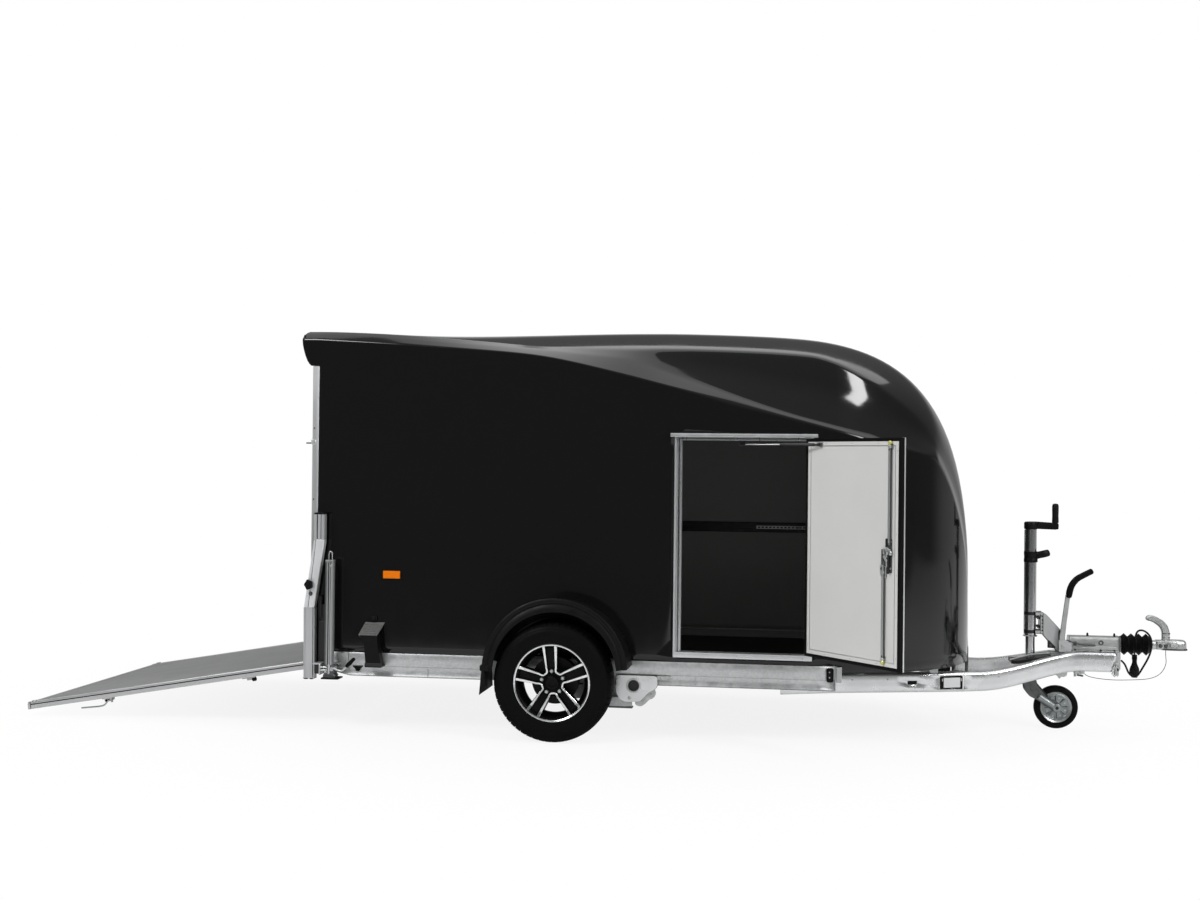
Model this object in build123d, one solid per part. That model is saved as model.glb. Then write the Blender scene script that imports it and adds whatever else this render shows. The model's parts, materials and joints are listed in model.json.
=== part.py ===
from build123d import *
import os
from math import atan2, cos, degrees, hypot, radians, sin, sqrt, tan

# Single-axle closed box trailer with a boat-shaped nose, a rear loading ramp (shown lowered), a side door
# (shown open), a jockey wheel and two rear stabiliser legs.
# Drawing frame: X forward from the axle, Y to the left from the centre plane, Z up from the ground, in mm.
# place() then moves every piece so that the row's origin is the centre of the coupling's ball socket.

# ---- driving dimensions ----
BODY_WIDTH = 1560.0
WALL = 25.0
BODY_REAR_X = -1290.0
RAIL_FRONT_X = 1392.0
NOSE_X = 2105.0
NOSE_START_X = 1250.0
ROOF_Z = 2110.0
ROOF_REAR_DROP = 36.0
ROOF_FRONT_DROP = 17.0
ROOF_CREST_X = 700.0
NOSE_POWER = 3.55
CREASE_KNEE_X = -80.0
CREASE_KNEE_Z = 1954.6
CREASE_KNEE_LENGTH = 200.0
CREASE_REAR_SLOPE = 0.060
CREASE_FRONT_SLOPE = 0.262
HOOD_REAR_X = -1372.0
HOOD_BOTTOM_Z = 1885.0
HOOD_LIP = 35.0
SKIRT_Z = 365.0

RAIL_TOP_Z = 401.0
RAIL_HEIGHT = 123.0
RAIL_WIDTH = 45.0
RAIL_WALL = 5.0
FLOOR_TOP_Z = 356.0
FLOOR_THICKNESS = 15.0
CROSSMEMBER_HEIGHT = 50.0
CROSSMEMBER_WIDTH = 45.0
CROSSMEMBER_COUNT = 5
CROSSMEMBER_FRONT_X = 1100.0
NOSE_SUPPORTS_X = (1520.0, 1900.0)

TYRE_DIAMETER = 600.0
TYRE_WIDTH = 175.0
TYRE_GAP = 12.0
RIM_FLANGE_RADIUS = 194.0
RIM_SEAT_RADIUS = 178.0
RIM_WALL = 6.0
SPOKE_PAIRS = 5
SPOKE_WIDTH = 15.0
HUB_RADIUS = 34.0
DRUM_RADIUS = 118.0
STUB_RADIUS = 22.0
FIT_GAP = 0.3

PIVOT_X = 390.0
PIVOT_Z = 275.0
PIVOT_TUBE_RADIUS = 30.0
PIVOT_TUBE_WALL = 5.0
ARM_WIDTH = 60.0
ARM_HEIGHT = 60.0
CARRIER_THICKNESS = 8.0

GUARD_OUTER_RADIUS = 385.0
GUARD_RIM = 55.0
GUARD_THICKNESS = 5.0
GUARD_CENTRE_X = 15.0
GUARD_CENTRE_Z = 335.0
GUARD_WIDTH = 205.0
FLAP_BOTTOM_Z = 197.0

DOOR_FRAME_X0 = 585.0
DOOR_FRAME_X1 = 1277.0
DOOR_FRAME_Z0 = 423.0
DOOR_FRAME_Z1 = 1533.0
DOOR_FRAME_WIDTH = 36.0
DOOR_FRAME_PROUD = 4.0
DOOR_FRAME_DEPTH = 60.0
DOOR_REBATE = 12.0
DOOR_GAP = 5.0
LEAF_THICKNESS = 28.0
LEAF_OPEN_DEG = 131.0
HINGE_OFFSET_Y = 10.0
HINGE_OFFSET_X = 5.0
HINGE_PIN_RADIUS = 5.0
HINGE_BARREL_RADIUS = 9.0

RAMP_LENGTH = 1577.0
RAMP_WIDTH = 1520.0
RAMP_THICKNESS = 38.0
RAMP_SLOPE_DEG = 9.7
RAMP_HINGE_X = -1338.0
RAMP_HINGE_Z = 300.0
RAMP_HINGE_RADIUS = 8.0
RAMP_GAP = 5.0

ARM_BOX_HEIGHT = 100.0
ARM_BOX_WIDTH = 50.0
ARM_REAR_Y = 690.0
ARM_FRONT_X = 2620.0
ARM_FRONT_Y = 85.0
ARM_END_X = 2890.0
ARM_WALL = 5.0
ARM_WINDOWS = ((1762.0, 1814.0, 22.0), (1929.0, 2056.0, 70.0))

HITCH_X = 3195.0
GAITER_REAR_X = 2893.0
GAITER_LENGTH = 162.0
HITCH_Z = 455.0
BALL_SOCKET_RADIUS = 25.5

JOCKEY_X = 2435.0
JOCKEY_TUBE_RADIUS = 30.0
JOCKEY_INNER_RADIUS = 25.0
JOCKEY_COLLAR_Z = 489.0
JOCKEY_TOP_Z = 1066.0
JOCKEY_FORK_TOP_Z = 262.0
BRAKE_LEVER_Y = 62.0            # the handbrake lever stands beside the housing, on the right
JOCKEY_TRAIL = 135.0
JOCKEY_WHEEL_DIAMETER = 230.0
JOCKEY_WHEEL_WIDTH = 52.0

LEG_X = -1187.0
LEG_STANDOFF = 70.0             # from a side wall's face to a leg's axis
LEG_RADIUS = 24.0
LEG_FOOT_Z = 271.0
LEG_TOP_Z = 879.0

POST_Y = 800.0
POST_WIDTH = 60.0

HALF = BODY_WIDTH / 2
LEG_Y = HALF + LEG_STANDOFF
WHEEL_RADIUS = TYRE_DIAMETER / 2
WHEEL_Y = HALF + TYRE_GAP + TYRE_WIDTH / 2
RAIL_BOTTOM_Z = RAIL_TOP_Z - RAIL_HEIGHT
RAIL_INNER_Y = HALF - RAIL_WIDTH
ARM_REAR_X = CROSSMEMBER_FRONT_X + CROSSMEMBER_WIDTH / 2
FLOOR_BOTTOM_Z = FLOOR_TOP_Z - FLOOR_THICKNESS


# ---- helpers ----
def box(x0, x1, y0, y1, z0, z1):
    """A box between two corners."""
    return Pos((x0 + x1) / 2, (y0 + y1) / 2, (z0 + z1) / 2) * Box(abs(x1 - x0), abs(y1 - y0), abs(z1 - z0))


def rod(start, end, radius):
    """A round bar from start to end."""
    axis = Vector(*end) - Vector(*start)
    plane = Plane(origin=start, z_dir=axis)
    return extrude(plane * Circle(radius), axis.length)


def profile_xz(points, y0, y1):
    """A closed outline in the XZ plane, as a slab from y0 to y1."""
    face = make_face(Polyline(*[(x, y0, z) for x, z in points], close=True))
    return extrude(face, amount=abs(y1 - y0), dir=(0, 1 if y1 > y0 else -1, 0))


def both_sides(shape):
    """The piece and its mirror image across the centre plane."""
    return [shape, mirror(shape, about=Plane.XZ)]


def smooth(value):
    """A step from 0 to 1 with level ends."""
    t = min(max(value, 0.0), 1.0)
    return t * t * (3 - 2 * t)


NODES = {}


def place(name, *solids):
    """Record one node, moved so that the origin is the centre of the coupling's ball socket."""
    NODES[name] = [Pos(-HITCH_X, 0, -HITCH_Z) * solid for solid in solids]


# ---- body shell: cross-sections along X ----
def half_width(x):
    """Plan outline: straight sides, then an elliptical nose."""
    t = min(max((x - NOSE_START_X) / (NOSE_X - NOSE_START_X), 0.0), 1.0)
    return HALF * sqrt(1 - t * t)


def crown_z(x):
    """Centre line of the roof: nearly level, then a blunt curve down the nose."""
    top = ROOF_Z - ROOF_REAR_DROP * smooth((350 - x) / 1500) - ROOF_FRONT_DROP * smooth((x - 450) / 750)
    t = min(max((x - ROOF_CREST_X) / (NOSE_X - ROOF_CREST_X), 0.0), 1.0)
    return SKIRT_Z + (top - SKIRT_Z) * (1 - t ** NOSE_POWER) ** (1 / NOSE_POWER)


def dome_edge_z(x):
    """Outer edge of the raised dome, a little below the crown."""
    return crown_z(x) - 8 - 119 * smooth((x + 1300) / 1700) - 73 * smooth((x - 1250) / 480)


def crease_z(x):
    """The crease that sweeps down from the rear roof edge to the nose."""
    run = x - CREASE_KNEE_X
    bend = (hypot(run, CREASE_KNEE_LENGTH) + run) / 2
    sweep = CREASE_KNEE_Z - CREASE_REAR_SLOPE * run - (CREASE_FRONT_SLOPE - CREASE_REAR_SLOPE) * bend
    return min(sweep, dome_edge_z(x) - 18 - 90 * smooth((x - 300) / 900))


def section(x, inset, bottom):
    """Half of the outline at station x, from the bottom edge to the dome edge, inset by the wall."""
    w = half_width(x)
    rise = 20 + 60 * smooth((x + 900) / 1300) - 60 * smooth((x - 300) / 950)
    ledge = (1.2 * rise + 2) * w / HALF
    dome = w * (0.945 - 0.165 * smooth((x + 1000) / 1200))
    crease = crease_z(x)
    edge = dome_edge_z(x)
    even = (edge - crease) * (ledge / (w - dome)) ** 0.85
    scoop = smooth((x - 250) / 300)
    rise = min(even + (rise - even) * scoop, 0.45 * (edge - crease) + 1000 * (1 - scoop))
    side = w - inset
    return [(side, bottom), (side, crease - 0.4 * inset), (w - ledge - inset, crease + rise - 0.7 * inset),
            (dome - 0.7 * inset, edge - 0.8 * inset), (0, crown_z(x) - inset)]


def section_face(x, inset, bottom):
    """The closed outline at station x: flat sides, ledge, scoop and one crown arc."""
    low, crease, ledge, dome, crown = section(x, inset, bottom)
    right = [(x, -y, z) for y, z in (low, crease, ledge, dome)]
    left = [(x, y, z) for y, z in (dome, ledge, crease, low)]
    edges = [Edge.make_line(a, b) for a, b in zip(right, right[1:])]
    edges.append(Edge.make_three_point_arc(right[-1], (x, crown[0], crown[1]), left[0]))
    edges += [Edge.make_line(a, b) for a, b in zip(left, left[1:])]
    edges.append(Edge.make_line(left[-1], right[0]))
    return Face(Wire(edges))


def hull(stations, inset, bottom):
    """A solid lofted through the sections at the stations."""
    return loft([section_face(x, inset, bottom) for x in stations], ruled=True)


BODY_STATIONS = [HOOD_REAR_X, -1100, -800, -500, -200, 100, 400, 700, 950, 1200, RAIL_FRONT_X]
NOSE_STATIONS = [RAIL_FRONT_X, 1500, 1620, 1740, 1840, 1920, 1985, 2035, 2070, 2092]


def make_body():
    outer = hull(BODY_STATIONS, 0, RAIL_TOP_Z)
    inner_stations = [BODY_STATIONS[0] - 5] + BODY_STATIONS[1:-1] + [RAIL_FRONT_X + 5]
    inner = hull(inner_stations, WALL, RAIL_TOP_Z - 50)
    shell = outer - inner
    split = profile_xz([(x, crease_z(x) - WALL) for x in BODY_STATIONS]
                       + [(RAIL_FRONT_X, ROOF_Z + 100), (HOOD_REAR_X, ROOF_Z + 100)], -HALF - 50, HALF + 50)
    roof = shell & split
    sides = shell - split
    sides = sides - box(HOOD_REAR_X - 10, BODY_REAR_X, -HALF - 10, HALF + 10, 0, ROOF_Z)
    x0, x1 = HOOD_REAR_X, HOOD_REAR_X + HOOD_LIP + WALL
    z1 = crease_z(HOOD_REAR_X) - WALL
    hood = box(x0 + HOOD_LIP, x1, -HALF, HALF, HOOD_BOTTOM_Z, z1) + box(x0, x1, -HALF, HALF, z1 - 70, z1)
    roof = roof + hood
    cut = box(DOOR_FRAME_X0, DOOR_FRAME_X1, -HALF - 20, -HALF + WALL + 20, DOOR_FRAME_Z0, DOOR_FRAME_Z1)
    right = (sides & box(-2000, 3000, -1000, 0, 0, 3000)) - cut
    left = sides & box(-2000, 3000, 0, 1000, 0, 3000)
    place("body_roof", roof)
    place("body_side_right", right)
    place("body_side_left", left)
    nose_inner = [RAIL_FRONT_X - 5] + NOSE_STATIONS[1:-1]
    nose = hull(NOSE_STATIONS, 0, SKIRT_Z) - hull(nose_inner, WALL, SKIRT_Z - 20)
    place("body_nose", nose)


def make_floor():
    floor = box(BODY_REAR_X, RAIL_FRONT_X, -RAIL_INNER_Y, RAIL_INNER_Y, FLOOR_TOP_Z - FLOOR_THICKNESS, FLOOR_TOP_Z)
    nose_plan = [(x, half_width(x) - WALL - 3) for x in NOSE_STATIONS[:-2]]
    outline = [(x, y, FLOOR_TOP_Z + 12) for x, y in nose_plan] + [(x, -y, FLOOR_TOP_Z + 12) for x, y in nose_plan[::-1]]
    nose_floor = extrude(make_face(Polyline(*outline, close=True)), amount=FLOOR_THICKNESS, dir=(0, 0, 1))
    place("load_floor", floor, nose_floor)


# ---- chassis ----
def make_chassis():
    def rail(side):
        y0, y1 = side * RAIL_INNER_Y, side * HALF
        body = box(BODY_REAR_X, RAIL_FRONT_X, y0, y1, RAIL_BOTTOM_Z, RAIL_TOP_Z)
        hollow = box(BODY_REAR_X + RAIL_WALL, RAIL_FRONT_X - RAIL_WALL, y0 + side * RAIL_WALL, y1 - side * RAIL_WALL,
                     RAIL_BOTTOM_Z + RAIL_WALL, RAIL_TOP_Z - RAIL_WALL)
        body = body - hollow
        body = body - rod((PIVOT_X, y0 - side * 5, PIVOT_Z), (PIVOT_X, y1 + side * 5, PIVOT_Z), PIVOT_TUBE_RADIUS + 1)
        taper = profile_xz([(BODY_REAR_X - 1, RAIL_BOTTOM_Z - 1), (BODY_REAR_X + 190, RAIL_BOTTOM_Z - 1),
                            (BODY_REAR_X - 1, RAIL_BOTTOM_Z + 45)], -HALF - 5, HALF + 5)
        return body - taper
    place("chassis_rails", rail(1), rail(-1))
    top = FLOOR_TOP_Z - FLOOR_THICKNESS
    low = top - CROSSMEMBER_HEIGHT
    members = []
    for i in range(CROSSMEMBER_COUNT):
        x = BODY_REAR_X + 30 + i * (CROSSMEMBER_FRONT_X - BODY_REAR_X - 30) / (CROSSMEMBER_COUNT - 1)
        members.append(box(x - CROSSMEMBER_WIDTH / 2, x + CROSSMEMBER_WIDTH / 2, -RAIL_INNER_Y, RAIL_INNER_Y, low, top))
    for x in NOSE_SUPPORTS_X:
        reach = arm_y(x) + ARM_BOX_WIDTH / 2
        members.append(box(x - 20, x + 20, -reach, reach, arm_z(x - 20) + ARM_BOX_HEIGHT / 2, FLOOR_TOP_Z + 12))
    place("chassis_crossmembers", *members)


def arm_y(x):
    """Plan position of the drawbar arm's centre line."""
    t = (x - ARM_REAR_X) / (ARM_FRONT_X - ARM_REAR_X)
    return ARM_REAR_Y + (ARM_FRONT_Y - ARM_REAR_Y) * min(t, 1.0)


def arm_z(x):
    """Side-view height of the drawbar arm's centre line: low under the body, then an S-bend up."""
    low = FLOOR_BOTTOM_Z - ARM_BOX_HEIGHT / 2
    return low - 12 * min(max((x - 1400) / 600, 0), 1) + 92 * smooth((x - 2150) / 560)


ARM_STATIONS = [ARM_REAR_X, 1400, 2000, 2150, 2250, 2350, 2450, 2550, ARM_FRONT_X, 2750, ARM_END_X]


def make_drawbar():
    def face(x, shift, wall):
        y, z = arm_y(x) - shift, arm_z(x)
        half_w, half_h = ARM_BOX_WIDTH / 2, ARM_BOX_HEIGHT / 2 - wall
        points = [(x, y - half_w, z - half_h), (x, y + half_w, z - half_h), (x, y + half_w, z + half_h),
                  (x, y - half_w, z + half_h)]
        return make_face(Polyline(*points, close=True))
    arm = loft([face(x, 0, 0) for x in ARM_STATIONS], ruled=True)
    arm = arm - loft([face(x, ARM_WALL, ARM_WALL) for x in ARM_STATIONS], ruled=True)
    for x0, x1, height in ARM_WINDOWS:
        y, z = arm_y((x0 + x1) / 2), arm_z((x0 + x1) / 2)
        arm = arm - box(x0, x1, y - 40, y + 60, z - height / 2, z + height / 2)
    place("drawbar_arms", *both_sides(arm))
    inner = ARM_FRONT_Y - ARM_BOX_WIDTH / 2
    z = arm_z(ARM_END_X)
    bridge = box(ARM_FRONT_X + 20, ARM_END_X, -inner, inner, z - 40, z + 50)
    place("drawbar_bridge", bridge)
    return z + 50


def make_coupling(top):
    x0, x1 = ARM_FRONT_X + 10, GAITER_REAR_X
    housing = box(x0, x1, -50, 50, top, top + 78)
    place("overrun_housing", fillet(housing.edges().filter_by(Axis.X).group_by(Axis.Z)[-1], 18))
    z = top + 39
    x2 = GAITER_REAR_X + GAITER_LENGTH
    folds = 4
    pitch = (x2 - x1) / folds
    outline = [(x1, 0)]
    for i in range(folds):
        start = x1 + i * pitch
        outline += [(start, 38), (start + pitch / 2, 58)]
    outline += [(x2, 38), (x2, 0)]
    bellows = revolve(make_face(Polyline(*[(x, 0, z + r) for x, r in outline], close=True)),
                      axis=Axis((0, 0, z), (1, 0, 0)))
    place("overrun_gaiter", bellows)
    neck = rod((x2, 0, z), (HITCH_X - 45, 0, z), 26)
    head = box(HITCH_X - 88, HITCH_X + 42, -38, 38, HITCH_Z - 15, HITCH_Z + 35)
    head = fillet(head.edges().filter_by(Axis.Z), 30)
    socket = Pos(HITCH_X, 0, HITCH_Z) * Cylinder(BALL_SOCKET_RADIUS, 30)
    place("coupling_head", neck + head - socket)
    lever = box(HITCH_X - 83, HITCH_X - 43, -14, 14, HITCH_Z + 35, HITCH_Z + 100)
    lever = lever + rod((HITCH_X - 68, 0, HITCH_Z + 98), (HITCH_X - 150, 0, HITCH_Z + 146), 16)
    place("coupling_lever", lever)
    y = -BRAKE_LEVER_Y
    brake = rod((2604, y, top + 30), (2618, y, top + 280), 12)
    brake = brake + rod((2618, y, top + 280), (2645, y, top + 362), 15)
    brake = brake + rod((2645, y, top + 362), (2738, y, top + 428), 16)
    brake = brake + box(2580, 2640, y - 12, y + 12, top, top + 60)
    place("handbrake_lever", brake)


# ---- axle and wheels ----
def make_suspension():
    y_end = HALF + CARRIER_THICKNESS + 2
    tube = rod((PIVOT_X, -y_end, PIVOT_Z), (PIVOT_X, y_end, PIVOT_Z), PIVOT_TUBE_RADIUS)
    tube = tube - rod((PIVOT_X, -y_end - 1, PIVOT_Z), (PIVOT_X, y_end + 1, PIVOT_Z), PIVOT_TUBE_RADIUS - PIVOT_TUBE_WALL)
    plate = profile_xz([(PIVOT_X - 85, 325), (PIVOT_X + 120, 325), (PIVOT_X + 120, 300), (PIVOT_X + 45, 195),
                        (PIVOT_X - 40, 195)], -HALF, -HALF - CARRIER_THICKNESS)
    plate = plate - rod((PIVOT_X, -HALF + 5, PIVOT_Z), (PIVOT_X, -HALF - 20, PIVOT_Z), PIVOT_TUBE_RADIUS)
    place("suspension_tube", tube + both_sides(plate))
    y1 = RAIL_INNER_Y - 5
    y0 = y1 - ARM_WIDTH
    seat = PIVOT_Z - 13
    arm = profile_xz([(PIVOT_X + 45, PIVOT_Z + 2), (PIVOT_X + 45, PIVOT_Z - 62), (60, 190), (-60, 190), (-60, seat),
                      (200, seat)], -y0, -y1)
    arm = arm - rod((PIVOT_X, -y0 + 5, PIVOT_Z), (PIVOT_X, -y1 - 5, PIVOT_Z), PIVOT_TUBE_RADIUS)
    foot = box(-60, 60, -HALF - 2, -y0, 190, 230)
    carrier = box(-60, 60, -HALF - 2 - CARRIER_THICKNESS, -HALF - 2, 190, 355)
    stub = rod((0, -HALF - 2, WHEEL_RADIUS), (0, -WHEEL_Y - 25, WHEEL_RADIUS), STUB_RADIUS)
    place("suspension_arms", *both_sides(arm + foot + carrier + stub))
    spring_y = -(y0 + y1) / 2
    place("suspension_springs", *both_sides(rod((90, spring_y, seat), (90, spring_y, FLOOR_BOTTOM_Z), 28)))


def make_wheel(name, side):
    """One road wheel about the Y axis, with the spokes on its outer face."""
    mid = side * WHEEL_Y
    half = TYRE_WIDTH / 2

    def ring(points):
        face = make_face(Polyline(*[(0, mid + side * y, WHEEL_RADIUS + r) for r, y in points], close=True))
        return revolve(face, axis=Axis((0, 0, WHEEL_RADIUS), (0, 1, 0)))
    seat = RIM_SEAT_RADIUS
    tread = WHEEL_RADIUS
    tyre = ring([(seat, -half + 12), (seat + 14, -half + 2), (seat + 60, -half), (tread - 25, -half + 4),
                 (tread - 6, -half + 16), (tread, -half + 32), (tread, half - 32), (tread - 6, half - 16),
                 (tread - 25, half - 4), (seat + 60, half), (seat + 14, half - 2), (seat, half - 12),
                 (seat, half - 30), (seat + 50, half - 12), (tread - 14, half - 22), (tread - 14, -half + 22),
                 (seat + 50, -half + 12), (seat, -half + 30)])
    place(f"tyre_{name}", tyre)
    bead = half - 12
    rim = ring([(seat - RIM_WALL, -bead), (seat, -bead), (seat, bead), (seat - RIM_WALL, bead)])
    face_y = half - 30
    hub = ring([(STUB_RADIUS + FIT_GAP, -20), (70, -20), (70, face_y), (0, face_y), (0, face_y - 8),
                (STUB_RADIUS + FIT_GAP, face_y - 8)])
    spokes = []
    for i in range(SPOKE_PAIRS):
        for offset in (-1, 1):
            bar = box(offset * 17 - SPOKE_WIDTH / 2, offset * 17 + SPOKE_WIDTH / 2, mid + side * (face_y - 16),
                      mid + side * (face_y + 6), 50, seat - 2)
            spokes.append(Pos(0, 0, WHEEL_RADIUS) * Rot(0, i * 360 / SPOKE_PAIRS, 0) * bar)
    place(f"rim_{name}", rim + hub + spokes)
    drum = ring([(STUB_RADIUS + FIT_GAP, -half + 16), (DRUM_RADIUS, -half + 16), (DRUM_RADIUS, -22), (70, -22),
                 (70, -20), (STUB_RADIUS + FIT_GAP, -20)])
    place(f"brake_drum_{name}", drum)


def make_mudguards():
    def arc_slab(r0, r1, y0, y1):
        centre = (GUARD_CENTRE_X, GUARD_CENTRE_Z)
        outer = rod((centre[0], y0, centre[1]), (centre[0], y1, centre[1]), r1)
        inner = rod((centre[0], y0 + 1, centre[1]), (centre[0], y1 - 1, centre[1]), r0)
        lower = box(centre[0] - 500, centre[0] + 500, y0 + 5, y1 - 5, centre[1] - 500, centre[1] + 35)
        return outer - inner - lower
    r1 = GUARD_OUTER_RADIUS
    y_in, y_out = -HALF, -HALF - GUARD_WIDTH
    guard = arc_slab(r1 - GUARD_THICKNESS, r1, y_in, y_out) + arc_slab(r1 - GUARD_RIM, r1, y_out + GUARD_THICKNESS, y_out)
    flap = box(GUARD_CENTRE_X - r1, GUARD_CENTRE_X - r1 + 6, y_in - 10, y_out + 10, FLAP_BOTTOM_Z, GUARD_CENTRE_Z + 38)
    place("mudguards", *both_sides(guard + flap))


# ---- rear frame, posts, legs, ramp ----
def make_rear():
    z1 = HOOD_BOTTOM_Z
    x0, x1 = BODY_REAR_X - 30, BODY_REAR_X
    upright = box(x0, x1, HALF - 12, HALF, RAIL_TOP_Z, z1)
    face = RAMP_HINGE_X + RAMP_THICKNESS + RAMP_GAP
    header = box(face, x1, -HALF + 12, HALF - 12, z1 - 45, z1)
    header = header + box(x1, x1 + 18, -HALF + WALL + 2, HALF - WALL - 2, z1 - 45, z1)
    header = header + box(face, x1, -HALF + WALL + 2, HALF - WALL - 2, z1, crease_z(BODY_REAR_X) - WALL - 2)
    reveal = box(face, x1, RAIL_INNER_Y, HALF - 12, RAIL_TOP_Z, z1 - 45)
    frame = header + both_sides(upright + reveal)
    sill = box(face, x1, -RAIL_INNER_Y, RAIL_INNER_Y, RAMP_HINGE_Z - 12, FLOOR_TOP_Z)
    place("rear_frame", frame)
    hinge = rod((RAMP_HINGE_X, 60 - RAMP_WIDTH / 2, RAMP_HINGE_Z), (RAMP_HINGE_X, RAMP_WIDTH / 2 - 60, RAMP_HINGE_Z),
                RAMP_HINGE_RADIUS)
    ears = [box(RAMP_HINGE_X - 4, face, y - 40, y + 40, RAMP_HINGE_Z - 12, RAMP_HINGE_Z - RAMP_GAP)
            for y in (-640, -320, 0, 320, 640)]
    place("ramp_hinge", sill + hinge + ears)
    outline = [(-1275, 1120), (-1222, 1120), (-1222, 980), (-1265, 628), (-1265, 271), (-1325, 271), (-1327, 628),
               (-1275, 980)]
    post = profile_xz(outline, -HALF, -HALF - POST_WIDTH)
    place("rear_posts", *both_sides(post))
    lamp = box(-1334, -1327.5, -HALF - 5, -HALF - POST_WIDTH + 5, 330, 600)
    place("rear_lamps", *both_sides(lamp))


def make_leg(name, side):
    y = side * LEG_Y
    leg = rod((LEG_X, y, LEG_FOOT_Z + 8), (LEG_X, y, LEG_TOP_Z), LEG_RADIUS)
    leg = leg - rod((LEG_X, y, LEG_FOOT_Z + 8), (LEG_X, y, LEG_TOP_Z - 6), LEG_RADIUS - 4)
    leg = leg + box(LEG_X - 52, LEG_X + 52, y - 52, y + 52, LEG_FOOT_Z, LEG_FOOT_Z + 8)
    place(f"leg_{name}", leg)


def make_leg_clamps():
    clamp = box(LEG_X - 35, LEG_X + 35, -HALF, -LEG_Y - 35, 320, 375)
    clamp = clamp - rod((LEG_X, -LEG_Y, 300), (LEG_X, -LEG_Y, 400), LEG_RADIUS + FIT_GAP)
    place("leg_clamps", *both_sides(clamp))


def make_ramp():
    """The ramp is drawn level, with its hinge axis at the origin, then turned to its slope."""
    half = RAMP_WIDTH / 2
    edge = 40.0
    panel = box(-RAMP_LENGTH + edge, -edge, -half + edge, half - edge, 2, RAMP_THICKNESS)
    frame = box(-RAMP_LENGTH, 0, -half, half, 0, RAMP_THICKNESS)
    frame = frame - box(-RAMP_LENGTH + edge, -edge, -half + edge, half - edge, -1, RAMP_THICKNESS + 1)
    frame = frame - rod((0, -half - 1, 0), (0, half + 1, 0), RAMP_HINGE_RADIUS + 1)
    turn = Pos(RAMP_HINGE_X, 0, RAMP_HINGE_Z) * Rot(0, -RAMP_SLOPE_DEG, 0)
    place("ramp_panel", turn * panel)
    place("ramp_frame", turn * frame)
    latches = []
    for side in (-1, 1):
        y = side * (half - 60)
        latch = box(-1180, -1120, y - 15, y + 15, -22, 2) + rod((-1200, y, -12), (-1120, y, -12), 6)
        latches.append(turn * latch)
    place("ramp_latches", *latches)


# ---- side door ----
FRAME_FACE_Y = -HALF - DOOR_FRAME_PROUD
LEAF_X1 = DOOR_FRAME_X1 - DOOR_REBATE - DOOR_GAP
LEAF_X0 = DOOR_FRAME_X0 + DOOR_REBATE + DOOR_GAP
LEAF_Z0 = DOOR_FRAME_Z0 + 32
LEAF_Z1 = DOOR_FRAME_Z1 - 7
HINGE_X = LEAF_X1 + HINGE_OFFSET_X
HINGE_Y = FRAME_FACE_Y - 2 - HINGE_OFFSET_Y
LEAF_FACE_Y = FRAME_FACE_Y - 2


STAY_Z = 1495.0
STAY_EYE_X = HINGE_X - 116.6
STAY_STANDOFF = 17.0
STAY_EYE_Y = LEAF_FACE_Y + LEAF_THICKNESS + STAY_STANDOFF
STAY_BRACKET_X = 921.0
STAY_BRACKET_Y = HINGE_Y + 58.0
STAY_RADIUS = 8.0
STAY_ROD_RADIUS = 4.0
STAY_ROD_START = 208.0
PLATE_Z = 400.0


def open_leaf(shape):
    """Turn a piece of the closed door leaf about its hinge to the open position."""
    return Pos(HINGE_X, HINGE_Y, 0) * Rot(0, 0, LEAF_OPEN_DEG) * Pos(-HINGE_X, -HINGE_Y, 0) * shape


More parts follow.
